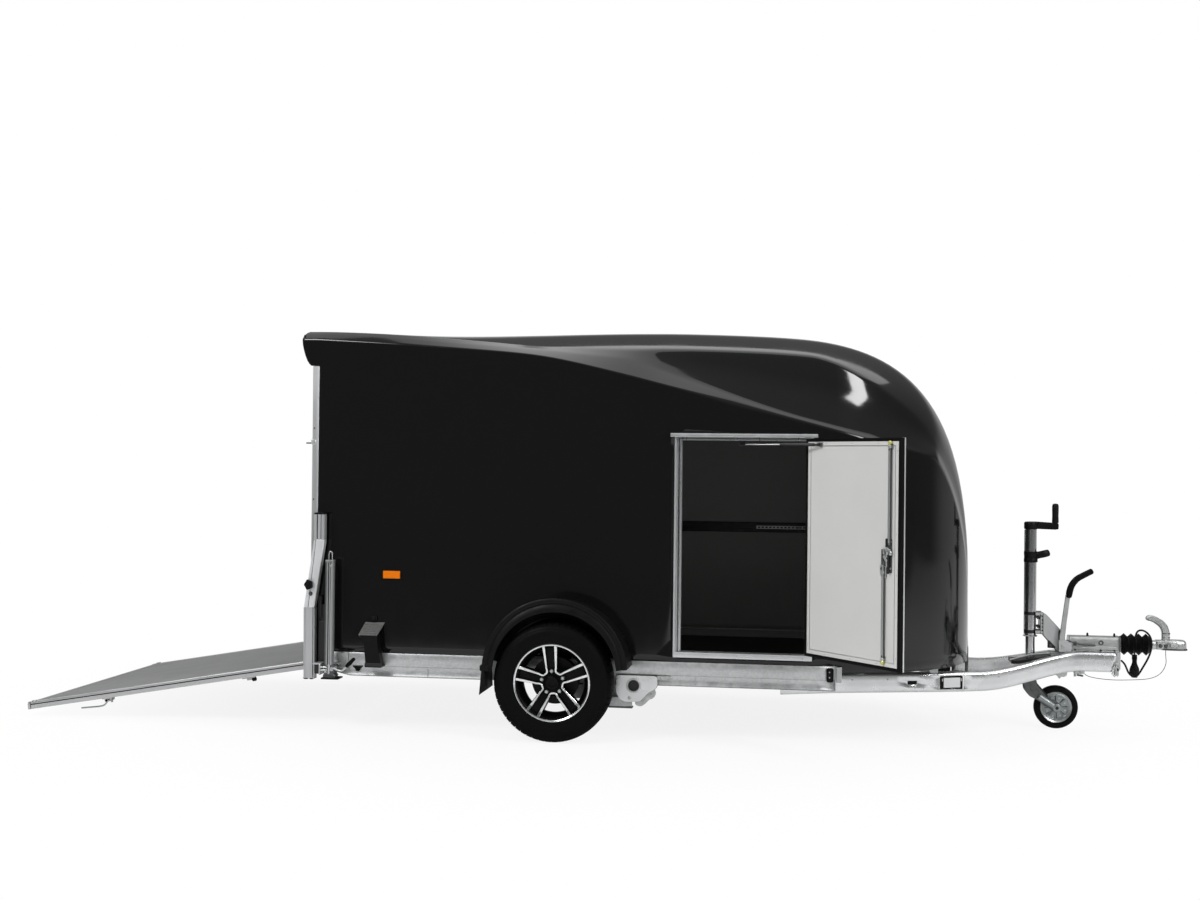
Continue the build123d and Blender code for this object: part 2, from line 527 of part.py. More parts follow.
def make_side_door():
    y0, y1 = FRAME_FACE_Y, FRAME_FACE_Y + DOOR_FRAME_DEPTH
    x0, x1, z0, z1 = DOOR_FRAME_X0, DOOR_FRAME_X1, DOOR_FRAME_Z0, DOOR_FRAME_Z1
    w = DOOR_FRAME_WIDTH
    frame = box(x0, x1, y0, y1, z0, z1)
    frame = frame - box(x0 + w, x1 - w, y0 - 1, y1 + 1, z0 + w - 8, z1 - 20)
    frame = frame - box(LEAF_X0 - DOOR_GAP, LEAF_X1 + DOOR_GAP, y0 - 1, LEAF_FACE_Y + LEAF_THICKNESS + DOOR_GAP,
                        LEAF_Z0 - DOOR_GAP, LEAF_Z1 + DOOR_GAP)
    drip = box(x0 - 20, x1 + 20, -HALF - 22, -HALF, z1, z1 + 10)
    bracket = box(STAY_BRACKET_X - 20, STAY_BRACKET_X + 20, y1 - 30, y1, STAY_Z + 9, z1 - 20)
    place("side_door_frame", frame + drip + bracket)
    leaf = box(LEAF_X0, LEAF_X1, LEAF_FACE_Y, LEAF_FACE_Y + LEAF_THICKNESS, LEAF_Z0, LEAF_Z1)
    place("side_door_leaf", open_leaf(leaf))
    inner_y = LEAF_FACE_Y + LEAF_THICKNESS
    lock_x = LEAF_X0 + 45
    lock = rod((lock_x, inner_y + 12, LEAF_Z0 + 15), (lock_x, inner_y + 12, LEAF_Z1 - 25), 6)
    lock = lock + box(lock_x - 18, lock_x + 18, inner_y, inner_y + 22, 850, 1010)
    place("side_door_lock", open_leaf(lock))
    hinges = []
    for z in (LEAF_Z0 + 110, (LEAF_Z0 + LEAF_Z1) / 2, LEAF_Z1 - 110):
        hinges.append(rod((HINGE_X, HINGE_Y, z - 45), (HINGE_X, HINGE_Y, z), HINGE_BARREL_RADIUS)
                      + box(HINGE_X, HINGE_X + 40, HINGE_Y - 3, HINGE_Y + 3, z - 45, z)
                      + box(DOOR_FRAME_X1 - 8, HINGE_X + 40, HINGE_Y, FRAME_FACE_Y, z - 45, z))
    place("side_door_hinges", *hinges)
    plates = []
    for z in (LEAF_Z0 + 110, (LEAF_Z0 + LEAF_Z1) / 2, LEAF_Z1 - 110):
        plates.append(open_leaf(rod((HINGE_X, HINGE_Y, z + FIT_GAP), (HINGE_X, HINGE_Y, z + 45), HINGE_BARREL_RADIUS)
                                + box(HINGE_X - 45, HINGE_X, HINGE_Y - 3, LEAF_FACE_Y, z + FIT_GAP, z + 45)))
    place("side_door_hinge_plates", *plates)


def make_stay():
    """Gas stay of the side door: the cylinder turns on the leaf, the rod points at a bracket on the frame."""
    z = STAY_Z
    pin = rod((STAY_EYE_X, STAY_EYE_Y, z - 9), (STAY_EYE_X, STAY_EYE_Y, z + 9), 4)
    base = box(STAY_EYE_X - 12, STAY_EYE_X + 12, LEAF_FACE_Y + LEAF_THICKNESS, STAY_EYE_Y + 6, z + 9, z + 12)
    foot = box(STAY_EYE_X - 12, STAY_EYE_X + 12, LEAF_FACE_Y + LEAF_THICKNESS, LEAF_FACE_Y + LEAF_THICKNESS + 4, z - 12, z + 9)
    place("side_door_stay_mount", open_leaf(pin + base + foot))
    eye = open_leaf(Pos(STAY_EYE_X, STAY_EYE_Y, z) * Sphere(1)).center()
    reach = Vector(STAY_BRACKET_X - eye.X, STAY_BRACKET_Y - eye.Y, 0)
    way = reach.normalized()

    def along(distance):
        point = eye + way * distance
        return (point.X, point.Y, z)
    collar = rod((eye.X, eye.Y, z - 7), (eye.X, eye.Y, z + 7), 9)
    cylinder = collar + rod(along(0), along(reach.length * 0.5), STAY_RADIUS)
    cylinder = cylinder - rod((eye.X, eye.Y, z - 8), (eye.X, eye.Y, z + 8), 4 + FIT_GAP)
    cylinder = cylinder - rod(along(14), along(reach.length * 0.5 + 1), STAY_ROD_RADIUS + FIT_GAP)
    rod_bar = rod(along(STAY_ROD_START), along(reach.length - 6), STAY_ROD_RADIUS)
    end = rod(along(reach.length - 12), along(reach.length + 6), 6)
    place("stay_cylinder", cylinder)
    place("stay_rod", rod_bar + end)


# ---- drawbar fittings ----
def make_jockey():
    x = JOCKEY_X
    radius = JOCKEY_TUBE_RADIUS
    column = rod((x, 0, JOCKEY_COLLAR_Z), (x, 0, JOCKEY_TOP_Z), radius)
    column = column + rod((x, 0, JOCKEY_COLLAR_Z), (x, 0, JOCKEY_COLLAR_Z + 6), radius + 8)
    column = column - rod((x, 0, JOCKEY_COLLAR_Z - 1), (x, 0, JOCKEY_TOP_Z - 10), JOCKEY_INNER_RADIUS + 0.5)
    place("jockey_column", column)
    crank = rod((x, 0, JOCKEY_TOP_Z), (x, 0, JOCKEY_TOP_Z + 35), radius + 3)
    crank = crank + box(x, x + 140, -11, 11, JOCKEY_TOP_Z + 4, JOCKEY_TOP_Z + 30)
    crank = crank + rod((x + 126, 0, JOCKEY_TOP_Z + 30), (x + 126, 0, JOCKEY_TOP_Z + 135), 13)
    band = rod((x, 0, 885), (x, 0, 945), radius + 4) + box(x, x + 105, -9, 9, 918, 945)
    band = band - rod((x, 0, 880), (x, 0, 950), radius)
    place("jockey_crank", crank, band)
    plate = profile_xz([(x + 30, 500), (x + 30, 600), (x + 70, 600), (x + 160, 495), (x + 165, PLATE_Z + 10),
                        (x + 100, PLATE_Z + 10)], 32, 37)
    clamp = rod((x, 0, 500), (x, 0, 600), radius + 8) + box(x, x + 60, -37, 37, 500, 600)
    clamp = clamp - rod((x, 0, 490), (x, 0, 610), radius)
    base = box(x + 95, ARM_FRONT_X + 20, -45, 45, PLATE_Z, PLATE_Z + 10)
    place("jockey_bracket", clamp + both_sides(plate) + base)
    inner = rod((x, 0, JOCKEY_FORK_TOP_Z + FIT_GAP), (x, 0, JOCKEY_FORK_TOP_Z + 560), JOCKEY_INNER_RADIUS)
    place("jockey_inner_tube", inner)
    wheel_x, wheel_z = x + JOCKEY_TRAIL, JOCKEY_WHEEL_DIAMETER / 2
    top = JOCKEY_FORK_TOP_Z
    y0, y1 = JOCKEY_WHEEL_WIDTH / 2 + 3, JOCKEY_WHEEL_WIDTH / 2 + 7
    cheek = profile_xz([(x - 25, top), (x + 25, top), (x + 30, top - 45), (wheel_x + 22, wheel_z + 8),
                        (wheel_x + 4, wheel_z - 20), (x, top - 100), (x - 25, top - 50)], y0, y1)
    fork = box(x - 25, x + 25, -y1, y1, top - 6, top) + both_sides(cheek)
    fork = fork + rod((wheel_x, -y1, wheel_z), (wheel_x, y1, wheel_z), 6)
    place("jockey_fork", fork)
    half = JOCKEY_WHEEL_WIDTH / 2
    hub_radius = 88.0

    def ring(points):
        face = make_face(Polyline(*[(wheel_x, y, wheel_z + r) for r, y in points], close=True))
        return revolve(face, axis=Axis((wheel_x, 0, wheel_z), (0, 1, 0)))
    tyre = ring([(hub_radius, -half + 8), (hub_radius + 10, -half), (wheel_z - 8, -half + 4), (wheel_z, -half + 14),
                 (wheel_z, half - 14), (wheel_z - 8, half - 4), (hub_radius + 10, half), (hub_radius, half - 8)])
    place("jockey_tyre", tyre)
    rim = ring([(6 + FIT_GAP, -half + 2), (20, -half + 2), (26, -half + 12), (hub_radius - 20, -half + 10),
                (hub_radius, -half + 9), (hub_radius, half - 9), (hub_radius - 20, half - 10), (26, half - 12),
                (20, half - 2), (6 + FIT_GAP, half - 2)])
    place("jockey_rim", rim)


def make_side_fittings():
    marker = box(-922, -826, -HALF, -HALF - 14, 783, 828)
    place("side_markers", *both_sides(marker))
    chock = profile_xz([(-1045, 500), (-1020, 562), (-920, 562), (-934, 480), (-940, 324), (-1018, 324),
                        (-1022, 440)], -HALF, -HALF - 70)
    place("wheel_chocks", *both_sides(chock))
    left = box(BODY_REAR_X + 40, BODY_STATIONS[-2] - 10, HALF - WALL - 14, HALF - WALL, 985, 1045)
    right = box(BODY_REAR_X + 40, DOOR_FRAME_X0 - 20, -HALF + WALL, -HALF + WALL + 14, 985, 1045)
    place("lashing_rails", left, right)


def corded(points, radius, factor=0.45):
    """A tube along straight runs joined by tangent arcs, each as large as its two runs allow."""
    corners = [Vector(*p) for p in points]
    radii = []
    for before, at, after in zip(corners, corners[1:], corners[2:]):
        turn = radians((at - before).get_angle(after - at))
        radii.append(factor * min((at - before).length, (after - at).length) / tan(turn / 2))
    path = FilletPolyline(*points, radius=radii)
    plane = Plane(origin=path @ 0, z_dir=path % 0)
    tube = sweep(plane * Circle(radius), path=path)
    print("cord length", round(path.length, 1), "smallest radius", round(min(radii), 1))
    return tube


CABLE_ROUTE = [(2894, -52.3, 379.5), (2909, -60, 367), (2918, -71, 343), (2926, -79, 319), (2943, -85, 301),
               (2967, -87, 302), (2982, -87, 322), (2999, -87, 353), (3019, -86, 388), (3035, -84, 425),
               (3044, -80, 464), (3042, -72, 500), (3031, -58, 524), (3015, -34, 537), (3001, -4, 537),
               (2993, 29, 526), (2990, 57, 502), (2989, 73, 470), (2988, 75.5, 443), (2987, 69, 420),
               (2986, 60, 401.7)]
WIRE_ROUTE = [(2700, -40, 330), (2702, -42, 308), (2722, -50, 291), (2762, -60, 283), (2812, -72, 279),
              (2868, -84, 279), (2926, -92, 283), (2976, -94, 286), (3026, -90, 291), (3075, -76, 306),
              (3108, -58, 334), (3126, -42, 371), (3124, -32, 408), (3124, -32, 440)]
PLUG_X, PLUG_Y, PLUG_TOP_Z, PLUG_BOTTOM_Z = 2986.0, 60.0, 399.0, 276.0


def make_cords():
    place("trailer_cable", corded(CABLE_ROUTE, 5.0))
    middle = PLUG_BOTTOM_Z + 70
    plug = rod((PLUG_X, PLUG_Y, PLUG_BOTTOM_Z), (PLUG_X, PLUG_Y, middle), 23)
    plug = plug + rod((PLUG_X, PLUG_Y, middle), (PLUG_X, PLUG_Y, PLUG_TOP_Z), 14)
    place("trailer_plug", plug)
    place("breakaway_wire", corded(WIRE_ROUTE, 1.6))


make_body()
make_floor()
make_chassis()
BRIDGE_TOP_Z = make_drawbar()
make_coupling(BRIDGE_TOP_Z)
make_suspension()
make_wheel("right", -1)
make_wheel("left", 1)
make_mudguards()
make_rear()
make_leg("right", -1)
make_leg("left", 1)
make_leg_clamps()
make_ramp()
make_side_door()
make_stay()
make_jockey()
make_side_fittings()
make_cords()

os.makedirs("parts", exist_ok=True)
for node_name, solids in NODES.items():
    export_step(Compound(children=[s for solid in solids for s in solid.solids()]), f"parts/{node_name}.step")
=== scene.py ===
from math import atan2, cos, hypot, pi, radians, sin, sqrt
import bpy
import bmesh
from mathutils import Matrix, Vector
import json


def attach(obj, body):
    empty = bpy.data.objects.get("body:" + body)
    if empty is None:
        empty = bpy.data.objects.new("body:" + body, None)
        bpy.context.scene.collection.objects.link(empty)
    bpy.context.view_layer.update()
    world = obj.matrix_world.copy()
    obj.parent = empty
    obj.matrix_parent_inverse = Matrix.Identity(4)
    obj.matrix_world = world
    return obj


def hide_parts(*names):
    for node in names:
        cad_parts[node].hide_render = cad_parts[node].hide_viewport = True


# Closed single-axle box trailer. Every length below is in millimetres in the drawing frame: X forward from the
# axle, Y to the left of the centre plane, Z up from the ground. at() turns a point into the row frame, in metres.
HITCH_X, HITCH_Z = 3195.0, 455.0

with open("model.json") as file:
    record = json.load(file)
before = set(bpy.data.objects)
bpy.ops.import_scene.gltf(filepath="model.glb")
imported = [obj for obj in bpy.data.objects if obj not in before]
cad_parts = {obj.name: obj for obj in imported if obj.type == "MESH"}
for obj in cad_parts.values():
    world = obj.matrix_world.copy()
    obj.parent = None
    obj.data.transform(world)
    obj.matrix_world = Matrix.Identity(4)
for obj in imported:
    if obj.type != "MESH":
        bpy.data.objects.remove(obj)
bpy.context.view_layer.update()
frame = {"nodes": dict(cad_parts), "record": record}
scene = bpy.context.scene


def at(x, y, z):
    """A drawing-frame point in the row frame, in metres."""
    return Vector(((x - HITCH_X) / 1000, y / 1000, (z - HITCH_Z) / 1000))


def clamp(value, low=0.0, high=1.0):
    return min(max(value, low), high)


def smooth(value):
    t = clamp(value)
    return t * t * (3 - 2 * t)


def add_object(name, data):
    item = bpy.data.objects.new(name, data)
    scene.collection.objects.link(item)
    return item


# ---------------------------------------------------------------- camera, light and stage
GLOSS_LOW, GLOSS_TOP, SOFT_LEVEL = 0.16, 0.5, 0.5  # room brightness to glossy rays, low and high up, and to others
WORLD_GLOSS, FLOOR_GLOSS = 0.4, 0.32  # how much of the white backdrop and floor a glossy ray sees
FLOOR_WHITE = 0.86  # how much of the floor's white the camera sees under the trailer


class Graph:
    """Nodes and links of one tree. An input is given as a value, or as the socket that feeds it."""

    def __init__(self, tree):
        self.tree = tree

    def feed(self, item, inputs):
        for key, value in inputs.items():
            if isinstance(value, bpy.types.NodeSocket):
                self.tree.links.new(value, item.inputs[key])
            else:
                item.inputs[key].default_value = value

    def node(self, kind, inputs, **values):
        item = self.tree.nodes.new("ShaderNode" + kind)
        for key, value in values.items():
            setattr(item, key, value)
        self.feed(item, inputs)
        return item.outputs

    def maths(self, operation, first, second):
        return self.node("Math", {0: first, 1: second}, operation=operation)[0]

    def spread(self, value, low, high, to_low, to_high):
        ends = {"Value": value, "From Min": low, "From Max": high, "To Min": to_low, "To Max": to_high}
        return self.node("MapRange", ends, interpolation_type="SMOOTHSTEP")["Result"]

    def mix(self, factor, first, second):
        return self.node("MixShader", {0: factor, 1: first, 2: second})[0]

    def seen(self, gloss):
        """1 for camera and transmission rays, gloss for glossy rays, otherwise 0."""
        path = self.node("LightPath", {})
        clear = self.maths("MAXIMUM", path["Is Camera Ray"], path["Is Transmission Ray"])
        return self.maths("MAXIMUM", clear, self.maths("MULTIPLY", path["Is Glossy Ray"], gloss))


def make_camera():
    yaw, pitch, roll = radians(8.34), radians(-0.43), radians(0.61)
    forward = Vector((-sin(yaw) * cos(pitch), cos(yaw) * cos(pitch), -sin(pitch)))
    level = Vector((cos(yaw), sin(yaw), 0))
    up = level.cross(forward)
    right = cos(roll) * level + sin(roll) * up
    top = -sin(roll) * level + cos(roll) * up
    data = bpy.data.cameras.new("camera")
    data.sensor_width, data.lens, data.clip_end = 36, 43.59, 200
    scene.camera = add_object("camera", data)
    turn = Matrix((right, top, -forward)).transposed().to_4x4()
    scene.camera.matrix_world = Matrix.Translation(at(1272.68, -8061.24, 1404.59)) @ turn


def area_light(name, place, target, width, height, power):
    data = bpy.data.lights.new(name, "AREA")
    data.shape = "RECTANGLE"
    data.size, data.size_y, data.energy = width, height, power
    light = add_object(name, data)
    light.location = place
    light.rotation_mode = "QUATERNION"
    light.rotation_quaternion = (target - place).to_track_quat("-Z", "Y")


def make_world():
    """A white backdrop for the camera, glass and gloss, and a plain soft room around and above it."""
    scene.world = bpy.data.worlds.new("studio")
    scene.world.use_nodes = True
    graph = Graph(scene.world.node_tree)
    graph.tree.nodes.clear()
    way = graph.node("SeparateXYZ", {0: graph.node("TexCoord", {})["Generated"]})
    back = graph.maths("MULTIPLY", graph.spread(way["Y"], 0.0, 0.3, 0.0, 1.0),
                       graph.spread(way["Z"], 0.16, 0.28, 1.0, 0.0))
    high = graph.spread(way["Z"], 0.3, 1.0, GLOSS_LOW, GLOSS_TOP)
    soft = graph.node("Mix", {"Factor": graph.node("LightPath", {})["Is Glossy Ray"], "A": SOFT_LEVEL, "B": high},
                      data_type="FLOAT")["Result"]
    room = graph.node("Background", {"Strength": soft})[0]
    white = graph.node("Background", {"Color": (1, 1, 1, 1), "Strength": 1.0})[0]
    show = graph.seen(graph.maths("MULTIPLY", back, WORLD_GLOSS))
    graph.node("OutputWorld", {"Surface": graph.mix(show, room, white)})


def make_stage():
    """A floor that is white to the camera, fading to FLOOR_WHITE under the trailer, and pale and matt to light."""
    low = at(0, 0, 0).z
    x0, x1, y0, y1 = -16.0, 12.0, -3.95, 14.0
    mesh = bpy.data.meshes.new("floor")
    mesh.from_pydata([(x0, y0, low), (x1, y0, low), (x1, y1, low), (x0, y1, low)], [], [(0, 1, 2, 3)])
    floor = add_object("floor", mesh)
    material = bpy.data.materials.new("floor_pale")
    material.use_nodes = True
    graph = Graph(material.node_tree)
    shader = graph.tree.nodes["Principled BSDF"]
    graph.feed(shader, {"Base Color": (0.8, 0.8, 0.8, 1), "Roughness": 0.9, "Specular IOR Level": 0.1})
    reach = graph.node("VectorMath", {0: graph.node("TexCoord", {})["Object"], 1: at(100, 0, 0)},
                       operation="DISTANCE")["Value"]
    shown = graph.maths("MULTIPLY", graph.spread(reach, 1.5, 4.0, FLOOR_WHITE, 1.0), graph.seen(FLOOR_GLOSS))
    white = graph.node("Emission", {"Strength": 1.0})[0]
    surface = graph.mix(shown, shader.outputs[0], white)
    graph.feed(graph.tree.nodes["Material Output"], {"Surface": surface})
    mesh.materials.append(material)


scene.view_settings.view_transform = "Standard"
make_camera()
make_world()
make_stage()
area_light("overhead", at(300, 1350, 5600), at(300, 1150, 0), 9.0, 5.2, 190)
area_light("front_left", at(-4500, -6200, 6200), at(-300, -600, 900), 3.0, 3.0, 420)
area_light("front_right", at(6500, -4500, 5200), at(1500, -700, 1500), 1.3, 4.2, 340)


# ---------------------------------------------------------------- materials
MATERIALS = {}


class Paint(Graph):
    """A Principled material. A pattern is a noise's (scale, detail, roughness, stretch) or a (method, numbers...)."""

    def __init__(self, name, colour, roughness, metallic=0.0, tint=None, polish=None, bump=None, **sockets):
        material = MATERIALS[name] = bpy.data.materials.new(name)
        material.use_nodes = True
        super().__init__(material.node_tree)
        self.shader = self.tree.nodes["Principled BSDF"]
        self.feed(self.shader, {"Base Color": (*colour, 1), "Roughness": roughness, "Metallic": metallic})
        self.feed(self.shader, {key.replace("_", " "): value for key, value in sockets.items()})
        self.coords = self.node("TexCoord", {})["Object"]
        for work, numbers in ((self.tint, tint), (self.polish, polish), (self.bump, bump)):
            if numbers:
                work(self.read(numbers[0]), *numbers[1:])

    def read(self, pattern):
        return getattr(self, pattern[0])(*pattern[1:]) if isinstance(pattern[0], str) else self.noise(*pattern)

    def noise(self, scale, detail=4.0, roughness=0.55, stretch=(1, 1, 1)):
        place = self.node("Mapping", {"Vector": self.coords, "Scale": stretch})["Vector"]
        return self.node("TexNoise", {"Vector": place, "Scale": scale, "Detail": detail,
                                      "Roughness": roughness})["Fac"]

    def voronoi(self, scale, output="Distance"):
        return self.node("TexVoronoi", {"Vector": self.coords, "Scale": scale})[output]

    def flakes(self, scale):
        """A flat grey of its own for each cell."""
        grey = self.node("RGBToBW", {0: self.voronoi(scale, "Color")})[0]
        return self.spread(grey, 0.2, 0.8, 0.0, 1.0)

    def wave(self, scale, direction):
        return self.node("TexWave", {"Vector": self.coords, "Scale": scale, "Distortion": 0.0},
                         bands_direction=direction)["Fac"]

    def tint(self, value, first, second):
        """Base colour runs from first to second with value."""
        ends = {"Factor": value, "A": (*first, 1), "B": (*second, 1)}
        self.feed(self.shader, {"Base Color": self.node("Mix", ends, data_type="RGBA")["Result"]})

    def polish(self, value, low, high):
        """Roughness runs from low to high with value."""
        self.feed(self.shader, {"Roughness": self.spread(value, 0.3, 0.7, low, high)})

    def bump(self, value, depth_mm, strength):
        ends = {"Height": value, "Strength": strength, "Distance": depth_mm / 1000}
        self.feed(self.shader, {"Normal": self.node("Bump", ends)["Normal"]})


Paint("black_gelcoat", (0.004, 0.004, 0.0042), 0.09, Specular_IOR_Level=0.42, polish=((5, 3), 0.07, 0.12),
      bump=((2.2, 2), 1.2, 0.12))
Paint("inner_wall", (0.18, 0.18, 0.176), 0.5, bump=((60, 5), 0.6, 0.5))
Paint("floor_board", (0.012, 0.011, 0.010), 0.6, bump=(("voronoi", 160), 0.5, 0.6),
      tint=((14, 5, 0.6, (1, 12, 1)), (0.008, 0.0075, 0.007), (0.022, 0.02, 0.018)))
Paint("galvanised_steel", (0.60, 0.615, 0.63), 0.42, 0.75, polish=((18, 4), 0.34, 0.52), bump=((14, 3), 0.4, 0.1),
      tint=(("flakes", 110), (0.48, 0.49, 0.495), (0.54, 0.55, 0.555)))
Paint("zinc_steel", (0.52, 0.54, 0.54), 0.36, 0.85, polish=((25, 3), 0.30, 0.42),
      tint=((16, 3), (0.46, 0.48, 0.475), (0.58, 0.59, 0.59)))
Paint("black_rubber", (0.003, 0.003, 0.003), 0.5, Specular_IOR_Level=0.08, bump=((150, 3), 0.3, 0.5))
Paint("black_plastic", (0.0035, 0.0035, 0.0036), 0.42, Specular_IOR_Level=0.14, polish=((12, 3), 0.38, 0.55),
      bump=((260, 3), 0.25, 0.6))
Paint("tyre_rubber", (0.003, 0.003, 0.0031), 0.6, Specular_IOR_Level=0.06, polish=((9, 3), 0.5, 0.72),
      bump=((180, 4), 0.4, 0.5))
Paint("alloy_rim", (0.78, 0.79, 0.80), 0.2, 1.0, polish=((40, 3), 0.14, 0.28))
Paint("rim_black", (0.0015, 0.0015, 0.0016), 0.3, Specular_IOR_Level=0.12, polish=((60, 3), 0.24, 0.4),
      bump=((300, 2), 0.1, 0.3))
Paint("cast_drum", (0.02, 0.018, 0.017), 0.65, 0.3, bump=((120, 4), 0.6, 0.7))
Paint("aluminium_profile", (0.74, 0.75, 0.76), 0.33, 0.85, polish=((30, 5, 0.6, (1, 1, 0.03)), 0.26, 0.42),
      bump=((220, 3, 0.5, (1, 1, 0.02)), 0.15, 0.25))
Paint("black_steel", (0.007, 0.007, 0.0075), 0.4, polish=((20, 4), 0.32, 0.5), bump=((120, 3), 0.3, 0.4))
Paint("ramp_board", (0.36, 0.365, 0.36), 0.62, tint=((6, 5), (0.19, 0.195, 0.193), (0.26, 0.265, 0.262)),
      bump=(("voronoi", 190), 0.5, 0.7))
Paint("grey_panel", (0.60, 0.60, 0.58), 0.4, tint=((3, 4), (0.57, 0.57, 0.555), (0.63, 0.63, 0.615)))
Paint("orange_lens", (0.72, 0.16, 0.001), 0.35, Specular_IOR_Level=0.15, bump=(("wave", 55, "X"), 0.4, 0.5),
      tint=(("voronoi", 260), (0.80, 0.20, 0.002), (0.60, 0.12, 0.001)))
Paint("red_lens", (0.35, 0.01, 0.01), 0.2, Coat_Weight=0.5, bump=(("voronoi", 300), 0.4, 0.5),
      tint=(("voronoi", 260), (0.40, 0.012, 0.01), (0.28, 0.008, 0.008)))
Paint("white_lens", (0.62, 0.63, 0.64), 0.3, Coat_Weight=0.4, bump=(("voronoi", 400), 0.3, 0.4))
Paint("yellow_zinc", (0.62, 0.60, 0.20), 0.4, 0.6, polish=((60, 3), 0.3, 0.5))
Paint("ramp_trim", (0.50, 0.505, 0.51), 0.35, 0.75, polish=((30, 4, 0.6, (0.05, 1, 1)), 0.3, 0.44),
      bump=((220, 3, 0.5, (0.02, 1, 1)), 0.15, 0.25))
Paint("polished_steel", (0.84, 0.85, 0.86), 0.3, 0.6, polish=((12, 3, 0.6, (1, 1, 0.1)), 0.26, 0.36))
Paint("rear_grey", (0.46, 0.47, 0.475), 0.4, 0.5, polish=((40, 4, 0.6, (1, 1, 0.03)), 0.3, 0.45))
Paint("column_steel", (0.56, 0.565, 0.575), 0.2, 1.0, polish=((12, 2, 0.5, (1, 1, 0.05)), 0.17, 0.22))
# Dark steel for small dark parts; on plate rims and thin strips it is painted shade that outlines edges and creases.
Paint("dark_steel_and_edge_shade", (0.10, 0.103, 0.107), 0.4, 0.7, polish=((20, 3), 0.32, 0.5))
Paint("bracket_steel", (0.50, 0.51, 0.515), 0.45, 0.6, polish=((30, 4), 0.32, 0.5))
# A lighter, speckled grey for the chock's upward face and ribs: painted light on the face that the lamps catch.
Paint("chock_top_painted_light", (0.05, 0.05, 0.05), 0.55, tint=((90, 5), (0.03, 0.03, 0.03), (0.16, 0.16, 0.155)))
Paint("fork_steel", (0.13, 0.135, 0.135), 0.4, 0.8, polish=((30, 4), 0.32, 0.5))
Paint("disc_steel", (0.30, 0.325, 0.33), 0.38, 0.8, polish=((30, 4), 0.3, 0.46),
      tint=((40, 3), (0.25, 0.275, 0.28), (0.36, 0.385, 0.385)))
Paint("arm_steel", (0.70, 0.71, 0.72), 0.26, 0.92, polish=((6, 3), 0.22, 0.34), bump=((5, 2), 1.5, 0.15),
      tint=((2.5, 3), (0.64, 0.65, 0.66), (0.76, 0.77, 0.775)))
Paint("leg_steel", (0.36, 0.37, 0.375), 0.36, 0.7, polish=((40, 4, 0.6, (1, 1, 0.03)), 0.28, 0.42),
      bump=((200, 2, 0.5, (1, 1, 0.02)), 0.15, 0.25))
Paint("black_cable", (0.004, 0.004, 0.004), 0.45, Specular_IOR_Level=0.15, bump=((300, 2), 0.2, 0.4))
Paint("wire_rope", (0.006, 0.006, 0.007), 0.5, 0.1, bump=(("wave", 900, "DIAGONAL"), 0.3, 0.6))
for row in frame["record"]["subparts"]:
    mesh = frame["nodes"][row["node"]].data
    mesh.materials.clear()
    mesh.materials.append(MATERIALS[row["material_slot"]])


# ---------------------------------------------------------------- mesh helpers
def finish_piece(piece, slots, body="root", nodes=(), smooth_angle=50):
    """Give a linked piece its materials, its smoothed faces, its body and the CAD nodes it stands for."""
    for name in slots:
        piece.data.materials.append(MATERIALS[name])
    for face in piece.data.polygons:
        face.use_smooth = True
    piece.data.set_sharp_from_angle(angle=radians(smooth_angle))
    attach(piece, body)
    if nodes:
        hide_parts(*nodes)


def sheet(name, grids, thickness, slot, skip=lambda rows, i, j: False, offset=-1.0, nodes=(), smooth_angle=50):
    """A skin over grids of points, with the cells that skip picks left open, thickened from one side or evenly."""
    vertices, faces = [], []
    for rows in grids:
        base, columns = len(vertices), len(rows[0])
        for i in range(len(rows) - 1):
            for j in range(columns - 1):
                if not skip(rows, i, j):
                    a = base + i * columns + j
                    faces.append((a, a + 1, a + columns + 1, a + columns))
        vertices += [p for row in rows for p in row]
    mesh = bpy.data.meshes.new(name)
    mesh.from_pydata([at(*v) for v in vertices], [], faces)
    bm = bmesh.new()
    bm.from_mesh(mesh)
    bmesh.ops.remove_doubles(bm, verts=bm.verts, dist=0.0002)
    bmesh.ops.recalc_face_normals(bm, faces=bm.faces)
    bm.to_mesh(mesh)
    bm.free()
    piece = add_object(name, mesh)
    solid = piece.modifiers.new("wall", "SOLIDIFY")
    solid.thickness, solid.offset, solid.use_even_offset = thickness / 1000, offset, False
    finish_piece(piece, [slot], nodes=nodes, smooth_angle=smooth_angle)


def bend(before, here, after, reach, steps):
    """The short curve that replaces a corner; it takes up at most 0.45 of either side."""
    here = Vector(here)
    back, on = Vector(before) - here, Vector(after) - here
    reach = min(reach, 0.45 * back.length, 0.45 * on.length)
    a, b = here + back.normalized() * reach, here + on.normalized() * reach
    ts = [k / steps for k in range(steps + 1)]
    return [tuple(a * (1 - t) ** 2 + here * 2 * t * (1 - t) + b * t * t) for t in ts]


def rounded(points, radii, samples):
    """The open line through the points, with each inner corner bent over the given reach."""
    result = [points[0]]
    for i in range(1, len(points) - 1):
        result += bend(*points[i - 1:i + 2], radii[i], samples)
    return result + [points[-1]]


def soften(outline, reach, steps=3):
    """A closed outline with each corner bent; reach is one number, or one for each corner."""
    count, result = len(outline), []
    for i, here in enumerate(outline):
        before, after = outline[i - 1], outline[(i + 1) % count]
        size = reach[i] if isinstance(reach, (list, tuple)) else reach
        short = min((Vector(before) - Vector(here)).length, (Vector(after) - Vector(here)).length)
        result += [tuple(here)] if min(size, 0.45 * short) < 0.2 else bend(before, here, after, size, steps)
    return result


